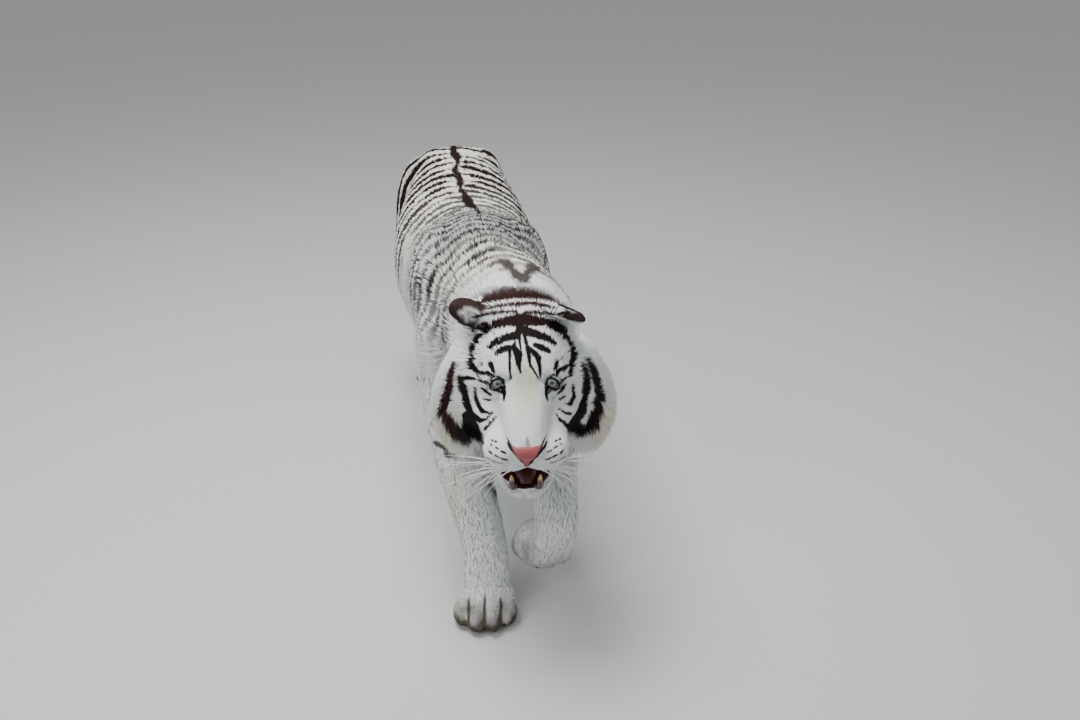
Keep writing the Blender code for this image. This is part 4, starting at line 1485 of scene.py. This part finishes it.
SKULL, TRUNK = Stem("skull", 1, 20), Stem("trunk", 1, 21)
PIECES = (CoatPiece("coat_face_left", "head", SKULL, True),
          CoatPiece("coat_crown", "head", SKULL),
          CoatPiece("coat_ruff_left", "head", SKULL, True),
          CoatPiece("coat_ruff_right", "head", SKULL, True),
          CoatPiece("coat_neck", "neck", Stem("neck", 1, 12)),
          CoatPiece("coat_chest_left", "chest", TRUNK, True),
          CoatPiece("coat_chest_right", "chest", TRUNK, True),
          CoatPiece("coat_flank_left", "hindquarters", TRUNK, True),
          CoatPiece("coat_flank_right", "hindquarters", TRUNK, True),
          CoatPiece("coat_fore_left", "fore_leg_left", Stem("fore_left", 2, 20)),
          CoatPiece("coat_fore_right", "fore_leg_right", Stem("fore_right", 2, 22)),
          CoatPiece("coat_hind_left", "hind_leg_left", Stem("hind_left", 2, 24)),
          CoatPiece("coat_hind_right", "hind_leg_right", Stem("hind_right", 2, 26)),
          CoatPiece("coat_tail", "tail_base", Stem("tail", 1, 16)),
          CoatPiece("coat_face_right", "head", SKULL, True))
NUMBER = {piece.name: number for number, piece in enumerate(PIECES)}

# A lock's corners are root, two sides, ridge and tip. Its faces, the two undersides among them,
# where its corners lie in its patch of the chart, and how light each corner is painted: painted
# shade at the root, where the locks shade each other, and painted light at the tip.
LOCK_FACES = np.array(((0, 3, 1), (0, 2, 3), (0, 1, 2), (4, 1, 3), (4, 3, 2), (4, 2, 1)))
UNDERSIDES = (2, 5)
LOCK_PATCH = np.array(((0, -1), (1, 0), (-1, 0), (0, 0.2), (0, 1)))
LOCK_LIGHT = np.array((0.80, 0.96, 0.96, 1.0, 1.03))


@dataclass(frozen=True)
class Borders:
    """Where one stretch of coat ends and the next begins, measured from the withers.

    crown_foot and face_back are in the head's own frame.
    """

    chest_back: float = 0.42
    neck_back: float = -0.02
    neck_foot: float = 0.52
    fore_back: float = 0.12
    fore_top: float = 0.40
    fore_middle: float = 0.03
    hind_front: float = 0.45
    hind_top: float = 0.46
    tail_front: float = 1.055
    head_foot: float = 0.36
    crown_foot: float = -0.02
    face_back: float = 0.045


@dataclass(frozen=True)
class LockForm:
    """A lock's form, as shares of the coat's length, width and depth at its root.

    A spread is the most that chance adds. Colour is read a little way towards
    the tip, so that a stripe's edge follows the locks.
    """

    length: float = 0.7
    length_spread: float = 0.6
    width: float = 0.75
    width_spread: float = 0.5
    depth: float = 0.75
    depth_spread: float = 0.4
    tip_lift: float = 0.72
    arch: float = 0.55
    arch_of_lift: float = 0.35
    ridge: float = 0.28
    roundness: float = 0.35
    root_sunk: float = 0.0005
    colour_at: float = 0.40
    colour_tip: float = 0.3


@dataclass
class Tufts:
    """The coat: pointed locks that lie along the body and overlap."""

    markings: Markings
    borders: Borders = Borders()
    form: LockForm = LockForm()
    cover: float = 2.6
    turn: float = 13.0
    swirl: float = 0.35
    most: int = 33_000
    patch: float = 0.0015
    eye_gap: float = 1.45
    tip_gap: float = 1.30
    sole: float = 0.005
    light: float = 0.93
    light_spread: float = 0.10
    light_drift: float = 0.03

    def bald(self, points: np.ndarray) -> np.ndarray:
        """True where no lock grows: eyes, nose leather, lips and inside the mouth.

        Args:
            points: Places in the row frame, one row each.

        Returns:
            True or false at each place.
        """
        local = to_frame(HEAD, points)
        bare = np.zeros(len(points), bool)
        for eye in EYES:
            bare |= eye.opening(points) < self.eye_gap
        down = nose_share(local[:, 2])
        nose = (np.abs(local[:, 0]) < 0.98 * nose_half_width(down) + 0.001)
        bare |= nose & (down > 0.0) & (down < 1.03) & (local[:, 1] < NOSE_BACK)
        return bare | (self.markings.bare(points) > 0.12) | (points[:, 2] < self.sole)

    def over_bare(self, points: np.ndarray) -> np.ndarray:
        """True where a lock's end would hang over an eye, the nose leather or the open mouth.

        Args:
            points: Places in the row frame, one row each.

        Returns:
            True or false at each place.
        """
        local = to_frame(HEAD, points)
        over = self.markings.bare(points) > 0.3
        for eye in EYES:
            over |= eye.opening(points) < self.tip_gap
        down = nose_share(local[:, 2])
        nose = np.abs(local[:, 0]) < 0.93 * nose_half_width(down)
        return over | (nose & (down > 0.04) & (down < 1.0) & (local[:, 1] < NOSE_BACK))

    def grow(self, skin: bpy.types.Object) -> tuple:
        """Roots of the locks, with the skin's normal at each.

        Args:
            skin: The hide.

        Returns:
            Root places, normals, the coat's lie at each, and the source of chance for what follows.
        """
        rng = np.random.default_rng(SEED)
        mesh = skin.data
        mesh.calc_loop_triangles()
        corners = np.empty(len(mesh.loop_triangles) * 3, np.int32)
        mesh.loop_triangles.foreach_get("vertices", corners)
        corners = corners.reshape(-1, 3)
        points, normals = surface(skin)
        a, b, c = (points[corners[:, i]] for i in range(3))
        area = np.linalg.norm(np.cross(b - a, c - a), axis=1) / 2
        middle = (a + b + c) / 3
        lie = coat_at(middle)
        rate = 2.0 * self.cover * lie.density / (lie.length * lie.width) * area
        rate[self.bald(middle)] = 0.0
        total = np.cumsum(rate)
        chosen = np.searchsorted(total, rng.random(int(total[-1])) * total[-1])
        s = np.sqrt(rng.random(len(chosen)))[:, None]
        t = rng.random(len(chosen))[:, None]
        share = np.hstack((1 - s, s * (1 - t), s * t))
        root = np.einsum("ij,ijk->ik", share, points[corners[chosen]])
        normal = unit(np.einsum("ij,ijk->ik", share, normals[corners[chosen]]))
        return root, normal, coat_at(root), rng

    def regions(self, points: np.ndarray) -> np.ndarray:
        """Which coat piece each root belongs to, as its number in PIECES.

        Args:
            points: Places in the row frame, one row each.

        Returns:
            The numbers.
        """
        x, y, z = (points - WITHERS).T
        local = to_frame(HEAD, points)
        left = x > 0.0
        at = self.borders

        def sided(part: str, on_left: np.ndarray) -> np.ndarray:
            """The numbers of a part's left and right pieces."""
            return np.where(on_left, NUMBER[part + "_left"], NUMBER[part + "_right"])

        region = np.where(y > at.chest_back, sided("coat_flank", left), sided("coat_chest", left))
        region = np.where((y < at.neck_back) & (z > at.neck_foot), NUMBER["coat_neck"], region)
        fore = sided("coat_fore", x > at.fore_middle)
        region = np.where((y < at.fore_back) & (z < at.fore_top), fore, region)
        region = np.where((y > at.hind_front) & (z < at.hind_top), sided("coat_hind", left), region)
        region = np.where(y > at.tail_front, NUMBER["coat_tail"], region)
        head = (self.markings.head_mask(local) > 0.5) & (points[:, 1] < HEAD_BACK) & (z > at.head_foot)
        facing_left = local[:, 0] > 0
        behind = np.where(local[:, 2] > at.crown_foot, NUMBER["coat_crown"], sided("coat_ruff", facing_left))
        on_head = np.where(local[:, 1] < at.face_back, sided("coat_face", facing_left), behind)
        return np.where(head, on_head, region)

    def shape(self, root: np.ndarray, normal: np.ndarray, lie: Coat, rng: np.random.Generator,
              under: BVHTree) -> tuple:
        """The five corners of each lock: root, two sides, ridge and tip.

        Args:
            root: Where each lock grows.
            normal: The skin's normal there.
            lie: The coat's lie there.
            rng: The source of chance.
            under: The skin.

        Returns:
            The corners, their shading normals and the places whose colour they wear.
        """
        count = len(root)
        form = self.form
        along = lie.along - np.sum(lie.along * normal, axis=1, keepdims=True) * normal
        flat = np.linalg.norm(along, axis=1) < 0.25
        along[flat] += np.cross(normal[flat], (1.0, 0.0, 0.0)) * 0.5
        along = unit(along)
        side = np.cross(normal, along)
        angle = np.radians(self.turn) * rng.normal(0, 1, count) + self.swirl * noise(root, 0.045, 21.0)
        along = along * np.cos(angle)[:, None] + side * np.sin(angle)[:, None]
        side = np.cross(normal, along)
        uneven = form.length_spread + 1.2 * np.clip(lie.stand - 0.1, 0, 0.2)
        length = lie.length * (form.length + uneven * rng.random(count))
        width = lie.width * (form.width + form.width_spread * rng.random(count))
        depth = lie.depth * (form.depth + form.depth_spread * rng.random(count))
        reach = root + along * length[:, None]
        ends = np.empty_like(root)
        ups = np.empty_like(root)
        for index, place in enumerate(reach.tolist()):
            found, facing, _, _ = under.find_nearest(place)
            ends[index] = found
            ups[index] = facing
        lift = (form.tip_lift * depth + lie.stand * length)[:, None]
        tip = ends + ups * lift
        middle = (root + ends) / 2 + normal * (form.arch * depth)[:, None] + ups * (form.arch_of_lift * lift)
        half = side * (width / 2)[:, None]
        ridge = middle + normal * (form.ridge * width)[:, None]
        sunk = root - normal * form.root_sunk
        corners = np.stack((sunk, middle + half, middle - half, ridge, tip), axis=1)
        corners[:, :, 2] = np.maximum(corners[:, :, 2], 0.0)
        bend = form.roundness * side
        faced = np.stack((normal, normal + bend, normal - bend, normal, ups), axis=1)
        late = ridge + form.colour_at * (tip - ridge)
        last = late + form.colour_tip * (tip - ridge)
        seen = np.stack((late, late + half, late - half, late, last), axis=1)
        return corners, faced, seen

    def chart(self, root: np.ndarray, normal: np.ndarray, piece: CoatPiece, every: np.ndarray) -> np.ndarray:
        """A place for each root where its stem is unrolled, what faces forward apart from the rest.

        Args:
            root: The piece's roots.
            normal: The skin's normal at each.
            piece: The coat piece.
            every: The roots of the piece's whole stem.

        Returns:
            Two values from 0 to 1 for each root.
        """
        axis = piece.stem.axis
        gone = root[:, [i for i in range(3) if i != axis]] - piece.stem.middle(root, every)
        angle = np.arctan2(gone[:, 0], gone[:, 1]) / math.pi
        far = np.linalg.norm(gone, axis=1)
        forward = normal[:, axis] < 0.0
        share = forward.mean()
        v = np.where(forward, share * spread(root[:, axis] + far, forward),
                     share + (1.0 - share) * spread(root[:, axis] - far, ~forward))
        u = spread(np.abs(angle) if piece.half else angle, np.ones(len(root), bool))
        return 0.01 + 0.98 * np.stack((u, v), axis=1)

    def lay(self, piece: CoatPiece, locks: tuple, chart: np.ndarray,
            finish: bpy.types.Material) -> bpy.types.Object:
        """One coat piece from its locks.

        Args:
            piece: Which piece it is.
            locks: The locks' corners, shading normals, coloured places and lightness.
            chart: The middle of each lock's patch in the OFBake map.
            finish: The coat's material.

        Returns:
            The dressed piece.
        """
        corners, faced, seen, value = locks
        faces = (np.arange(len(corners))[:, None, None] * len(LOCK_PATCH) + LOCK_FACES).reshape(-1, 3)
        item = new_piece(piece.name, corners.reshape(-1, 3), faces.tolist())
        patch = (chart[:, None, :] + LOCK_PATCH * self.patch).reshape(-1, 2)
        layer = item.data.uv_layers.new(name="OFBake")
        layer.data.foreach_set("uv", patch[faces.ravel()].astype(np.float32).ravel())
        for name, values in masks(self.markings, seen.reshape(-1, 3)).items():
            set_attribute(item, name, values)
        set_attribute(item, "rim", np.zeros(len(item.data.vertices)))
        # Each corner's lightness is the lock's own tone times its painted shade at the root and painted
        # light at the tip.
        set_attribute(item, "value", (value[:, None] * LOCK_LIGHT).ravel())
        dress(item, finish)
        turned = unit(faced.reshape(-1, 3))[faces.ravel()].reshape(-1, len(LOCK_FACES), 3, 3)
        turned[:, UNDERSIDES] *= -1.0
        item.data.normals_split_custom_set(turned.reshape(-1, 3).tolist())
        return item

    def build(self, skin: bpy.types.Object) -> list:
        """Every coat piece.

        Args:
            skin: The hide that it grows on.

        Returns:
            The pieces.
        """
        under = tree_of(skin)
        root, normal, lie, rng = self.grow(skin)
        corners, faced, seen = self.shape(root, normal, lie, rng, under)
        clear = ~self.over_bare(corners[:, 4]) & ~self.over_bare(corners[:, 3])
        root, normal, corners, faced, seen = (rows[clear] for rows in (root, normal, corners, faced, seen))
        chance = rng.random(len(root))
        value = self.light + self.light_spread * chance + self.light_drift * noise(root, 0.03, 22.0)
        region = self.regions(root)
        finish = PeltFinish("tiger_coat").build()
        made = []
        for number, piece in enumerate(PIECES):
            chosen = np.nonzero(region == number)[0]
            LOG.info("%s: %d locks", piece.name, len(chosen))
            chosen = np.sort(rng.permutation(chosen)[:self.most])
            stem = np.isin(region, [NUMBER[other.name] for other in PIECES if other.stem == piece.stem])
            chart = self.chart(root[chosen], normal[chosen], piece, root[stem])
            locks = tuple(rows[chosen] for rows in (corners, faced, seen, value))
            made.append(self.lay(piece, locks, chart, finish))
        return made


# --- eyes, nose, mouth, whiskers --------------------------------------------------------------

# The eye's colours from the middle of the pupil outwards, by their share of half a turn.
PUPIL = (0.004, 0.004, 0.005)
EYE_RINGS = ((0.0, PUPIL), (0.034, PUPIL), (0.046, (0.085, 0.115, 0.100)), (0.095, (0.17, 0.225, 0.195)),
             (0.145, (0.115, 0.155, 0.135)), (0.168, (0.008, 0.009, 0.009)),
             (0.200, (0.030, 0.009, 0.008)), (0.30, (0.045, 0.012, 0.010)))


@dataclass
class Eyes:
    """The eyeballs, looking at the camera. fibre_from and fibre_to are radians off the gaze."""

    rings: int = 56
    steps: int = 72
    bulge: float = 0.0010
    cornea: float = 0.0135
    fibre: float = 0.28
    fibre_from: float = 0.12
    fibre_to: float = 0.54

    def finish(self) -> bpy.types.Material:
        """Pale grey-green iris round a small pupil, under a wet coat.

        Returns:
            The material.
        """
        material = RampFinish("tiger_eye", "ring", EYE_RINGS, roughness=0.3, coat=0.45).build()
        tree = material.node_tree
        shader = tree.nodes["Principled BSDF"]
        colour = shader.inputs["Base Color"].links[0].from_socket
        darker = tree.nodes.new("ShaderNodeHueSaturation")
        tree.links.new(colour, darker.inputs["Color"])
        tree.links.new(link_attribute(tree, "fibre"), darker.inputs["Value"])
        tree.links.new(darker.outputs["Color"], shader.inputs["Base Color"])
        return material

    def ball(self, eye: EyeSeat, material: bpy.types.Material) -> bpy.types.Object:
        """One eyeball: a sphere turned to the gaze, its front drawn out into the cornea.

        Args:
            eye: Where the ball sits.
            material: Its finish.

        Returns:
            The finished ball.
        """
        side = "left" if eye.side > 0 else "right"
        out = (HEAD.to_3x3() @ GAZE).normalized()
        bpy.ops.object.select_all(action="DESELECT")
        turned = out.to_track_quat("Z", "Y").to_euler()
        bpy.ops.mesh.primitive_uv_sphere_add(segments=self.steps, ring_count=self.rings, radius=eye.radius,
                                             location=eye.centre, rotation=turned)
        made = bpy.context.active_object
        made.name = made.data.name = "eyeball_" + side
        bpy.ops.object.transform_apply(location=True, rotation=True, scale=True)
        points, _ = surface(made)
        front = int(np.argmax((points - np.array(eye.centre)) @ np.array(out)))
        bpy.ops.object.mode_set(mode="EDIT")
        bpy.ops.mesh.select_all(action="DESELECT")
        bpy.ops.object.mode_set(mode="OBJECT")
        made.data.vertices[front].select = True
        bpy.ops.object.mode_set(mode="EDIT")
        bpy.ops.transform.translate(value=out * self.bulge, use_proportional_edit=True,
                                    proportional_edit_falloff="SMOOTH", proportional_size=self.cornea)
        bpy.ops.object.mode_set(mode="OBJECT")
        points, _ = surface(made)
        gone = unit(points - np.array(eye.centre))
        across = np.array(out.orthogonal().normalized())
        phi = np.arctan2(gone @ np.cross(np.array(out), across), gone @ across)
        theta = np.arccos(np.clip(gone @ np.array(out), -1.0, 1.0))
        streak = np.sin(phi * 23 + 1.7 * np.sin(phi * 7)) * np.sin(phi * 13 + 0.6)
        in_iris = (theta > self.fibre_from) & (theta < self.fibre_to)
        set_attribute(made, "ring", theta / math.pi)
        set_attribute(made, "fibre", 1.0 + self.fibre * streak * in_iris)
        return dress(made, material, ("eye_" + side,))

    def build(self) -> list:
        """Both eyeballs."""
        material = self.finish()
        return [self.ball(eye, material) for eye in EYES]


@dataclass
class Nose:
    """The pink nose leather, laid over the muzzle's front.

    A place on it is given by side, from -1 to 1 across, and down, from 0 to 1.
    """

    rows: int = 44
    columns: int = 61
    rise: float = 0.0022
    tuck: float = 0.0010
    wing_rise: float = 0.0030
    crest_rise: float = 0.0035
    nostril_depth: float = 0.0010
    groove_depth: float = 0.0012
    groove_half: float = 0.0013
    thickness: float = 0.003

    def place(self, side: float, down: float, under: BVHTree) -> tuple:
        """A place on the leather and how dark it is there.

        Args:
            side: Where across.
            down: Where down.
            under: The skin.

        Returns:
            The place and the darkness.
        """
        across = side * float(nose_half_width(np.array([down]))[0])
        wing = smooth_one(0.66, 1.0, abs(side)) * (1.0 - down) ** 2
        crest = self.crest_rise * max(0.0, 1.0 - (side / 0.8) ** 2) * (1.0 - down) ** 2
        height = NOSE_TOP + down * (NOSE_FOOT - NOSE_TOP) + self.wing_rise * wing + crest
        hit = on_face(under, Vector((across, BEFORE_FACE, height)))
        edge = max(abs(side), abs(2 * down - 1))
        lift = self.rise * (1.0 - smooth_one(0.88, 1.0, edge)) - self.tuck * smooth_one(0.96, 1.0, edge)
        nostril = smooth_one(0.74, 0.84, abs(side)) * (1.0 - 0.5 * smooth_one(0.88, 1.0, down))
        groove = math.exp(-(across / self.groove_half) ** 2) * smooth_one(0.45, 0.7, down)
        sunk = self.nostril_depth * nostril + self.groove_depth * groove
        # Painted shade in the nostrils and in the groove below them; the leather also darkens towards the
        # lip.
        dark = max(nostril, 0.7 * groove, 0.8 * smooth_one(0.84, 1.0, down))
        return hit - INTO_FACE * (lift - sunk), min(1.0, dark)

    def build(self, under: BVHTree) -> bpy.types.Object:
        """The leather with its nostrils and the groove below them.

        Args:
            under: The skin.

        Returns:
            The leather.
        """
        places = [self.place(-1.0 + 2.0 * column / (self.columns - 1), row / (self.rows - 1), under)
                  for row in range(self.rows) for column in range(self.columns)]
        faces = strip_faces(self.rows, self.columns, closed=False)
        made = walled("nose_leather", [place for place, _ in places], faces, "tone",
                      [dark for _, dark in places], self.thickness, -1.0)
        # The ramp runs from pink through darker red to near black for the painted shade.
        tones = ((0.0, Shade.LEATHER.value), (0.35, Shade.LEATHER_EDGE.value), (0.75, Shade.NOSTRIL.value))
        return dress(made, RampFinish("nose_leather", "tone", tones, roughness=0.48).build())


@dataclass
class Mouth:
    """Tongue and canines, on the nodes' own shapes."""

    levels: int = 2

    def soften(self, node: str) -> bpy.types.Object:
        """A welded and rounded copy of a node.

        Args:
            node: The node's name.

        Returns:
            The copy.
        """
        item = welded_copy(node)
        round_off = item.modifiers.new("round", "SUBSURF")
        round_off.levels = self.levels
        round_off.render_levels = self.levels
        apply_modifiers(item)
        return item

    def build(self) -> list:
        """Every piece of the mouth.

        Returns:
            The tongue and the canines.
        """
        made = []
        tongue = self.soften("tongue")
        # The tongue is painted dark to stand for the shade inside the mouth.
        made.append(dress(tongue, plain_material("tongue_wet", Shade.TONGUE, 0.35), ("tongue",)))
        # Painted shade: each canine is ivory only near its tip and darkens to brown and then the mouth's
        # dark red towards its root.
        finish = RampFinish("canine", "root", ((0.0, Shade.TOOTH.value), (0.26, Shade.TOOTH.value),
                                               (0.36, Shade.TOOTH_ROOT.value), (0.44, Shade.LINING.value)),
                            roughness=0.3, coat=0.4).build()
        for node in CANINES:
            tooth = self.soften(node)
            points, _ = surface(tooth)
            z = points[:, 2]
            rise = (z - z.min()) / (z.max() - z.min())
            set_attribute(tooth, "root", rise if "upper" in node else 1.0 - rise)
            made.append(dress(tooth, finish, (node,)))
        return made


@dataclass
class Whiskers:
    """Long stiff hairs from the muzzle's sides and over the eyes, placed in the head's frame."""

    rows: int = 4
    each: int = 5
    steps: int = 10
    root_radius: float = 0.00090
    tip_radius: float = 0.00032
    shortest: float = 0.105
    spread: float = 0.085
    sag: float = 0.030
    first: float = 0.030
    apart: float = 0.0075
    top_row: float = -0.104
    row_step: float = 0.010
    before: float = -0.30
    over_eye: int = 4
    brow_first: float = 0.055
    brow_apart: float = 0.006
    brow_height: float = 0.036
    brow_before: float = -0.20
    brow_shortest: float = 0.045
    brow_spread: float = 0.02
    brow_sag: float = -0.004
    brow_girth: float = 0.5

    def one(self, root: Vector, aim: Vector, length: float, sag: float,
            girth: float = 1.0) -> bpy.types.Object:
        """One whisker, drawn out of a small disc step by step.

        Args:
            root: Where it leaves the muzzle.
            aim: Its direction there.
            length: Its length.
            sag: How far its tip hangs below the straight line.
            girth: Its thickness against a long whisker's.

        Returns:
            The whisker.
        """
        bpy.ops.object.select_all(action="DESELECT")
        bpy.ops.mesh.primitive_circle_add(vertices=6, radius=self.root_radius * girth, fill_type="NGON",
                                          location=root, rotation=aim.to_track_quat("Z", "Y").to_euler())
        made = bpy.context.active_object
        bpy.ops.object.transform_apply(location=True, rotation=True, scale=True)
        bpy.ops.object.mode_set(mode="EDIT")
        bpy.ops.mesh.select_all(action="SELECT")
        thick = np.linspace(self.root_radius, self.tip_radius, self.steps + 1)
        for step in range(self.steps):
            t0, t1 = step / self.steps, (step + 1) / self.steps
            move = aim * (length * (t1 - t0)) - Vector((0.0, 0.0, sag * (t1 * t1 - t0 * t0)))
            bpy.ops.mesh.extrude_region_move(TRANSFORM_OT_translate={"value": move})
            bpy.ops.transform.resize(value=[float(thick[step + 1] / thick[step])] * 3)
        bpy.ops.object.mode_set(mode="OBJECT")
        outwards(made)
        return made

    def muzzle(self, side: int, under: BVHTree, rng: np.random.Generator) -> list:
        """The long whiskers of one side of the muzzle.

        Args:
            side: 1 for the left, -1 for the right.
            under: The skin.
            rng: The source of chance.

        Returns:
            The whiskers.
        """
        hairs = []
        for row in range(self.rows):
            for number in range(self.each - (row == 0)):
                start = Vector((side * (self.first + self.apart * number), self.before,
                                self.top_row - self.row_step * row))
                hit = on_face(under, start)
                if hit is None:
                    continue
                aim = HEAD.to_3x3() @ Vector((side * (0.80 + 0.1 * rng.random()), 0.30 + 0.12 * number,
                                              -0.20 - 0.34 * row + 0.15 * rng.random())).normalized()
                length = self.shortest + self.spread * rng.random()
                hairs.append(self.one(hit, aim, length, self.sag))
        return hairs

    def brow(self, side: int, under: BVHTree, rng: np.random.Generator) -> list:
        """The short whiskers over one eye.

        Args:
            side: 1 for the left, -1 for the right.
            under: The skin.
            rng: The source of chance.

        Returns:
            The whiskers.
        """
        hairs = []
        for number in range(self.over_eye):
            start = Vector((side * (self.brow_first + self.brow_apart * number), self.brow_before,
                            self.brow_height))
            hit = on_face(under, start)
            if hit is None:
                continue
            aim = HEAD.to_3x3() @ Vector((side * (0.3 + 0.1 * number), -0.1, 0.8)).normalized()
            length = self.brow_shortest + self.brow_spread * rng.random()
            hairs.append(self.one(hit, aim, length, self.brow_sag, self.brow_girth))
        return hairs

    def build(self, under: BVHTree) -> bpy.types.Object:
        """All whiskers as one piece.

        Args:
            under: The skin.

        Returns:
            The whiskers.
        """
        rng = np.random.default_rng(SEED + 1)
        hairs = []
        for side in (1, -1):
            hairs += self.muzzle(side, under, rng)
            hairs += self.brow(side, under, rng)
        made = joined("whiskers", hairs)
        return dress(made, plain_material("whisker", Shade.WHISKER, 0.4))


# --- the studio -----------------------------------------------------------------------------------

@dataclass(frozen=True)
class SoftLight:
    """A square soft light: where it hangs, its side and its power in watts."""

    place: tuple
    side: float
    power: float

    def build(self, target: tuple) -> None:
        """Hangs the light and aims it at a target.

        Args:
            target: The place that it is aimed at.
        """
        data = bpy.data.lights.new("soft", "AREA")
        data.size = self.side
        data.energy = self.power
        lamp = bpy.data.objects.new("soft", data)
        lamp.location = self.place
        lamp.rotation_euler = (Vector(target) - Vector(self.place)).to_track_quat("-Z", "Y").to_euler()
        bpy.context.scene.collection.objects.link(lamp)


@dataclass
class Studio:
    """Camera, pale floor and soft light."""

    camera_at: tuple = (-0.2886, -2.9595, 1.752)
    heading: tuple = (0.158, 0.987)
    down: float = 26.3
    lens: float = 36.67
    floor_side: float = 60.0
    sky: tuple = (0.86, 0.89, 0.93, 1.0)
    sky_strength: float = 0.50
    aimed_at: tuple = (0.0, -0.2, 0.5)
    lights: tuple = (SoftLight((-0.6, -0.3, 3.4), 1.6, 120.0), SoftLight((-2.6, -2.8, 2.6), 1.8, 42.0),
                     SoftLight((3.0, -1.6, 2.2), 2.0, 14.0))

    def floor(self) -> None:
        """The plain pale floor."""
        bpy.ops.mesh.primitive_plane_add(size=self.floor_side)
        floor = bpy.context.active_object
        floor.name = "floor"
        floor.data.materials.append(plain_material("floor", Shade.FLOOR, 0.85))

    def camera(self) -> None:
        """The camera, before the animal and above it."""
        data = bpy.data.cameras.new("camera")
        data.lens = self.lens
        data.sensor_width = 36.0
        camera = bpy.data.objects.new("camera", data)
        camera.location = self.camera_at
        level = Vector((*self.heading, 0.0)).normalized()
        down = math.radians(self.down)
        aim = level * math.cos(down) - Vector((0, 0, math.sin(down)))
        camera.rotation_euler = aim.to_track_quat("-Z", "Y").to_euler()
        bpy.context.scene.collection.objects.link(camera)
        bpy.context.scene.camera = camera

    def build(self) -> None:
        """Everything round the animal."""
        self.floor()
        self.camera()
        world = bpy.data.worlds.new("studio")
        world.use_nodes = True
        background = world.node_tree.nodes["Background"]
        background.inputs["Color"].default_value = self.sky
        background.inputs["Strength"].default_value = self.sky_strength
        bpy.context.scene.world = world
        for light in self.lights:
            light.build(self.aimed_at)


def main() -> None:
    """Builds every piece in order."""
    logging.basicConfig(level=logging.INFO, format="%(message)s")
    markings = Markings()
    skin = Skin().build(markings)
    under = tree_of(skin)
    Eyes().build()
    Nose().build(under)
    Mouth().build()
    Whiskers().build(under)
    Tufts(markings).build(skin)
    Studio().build()


if __name__ == "__main__":
    main()
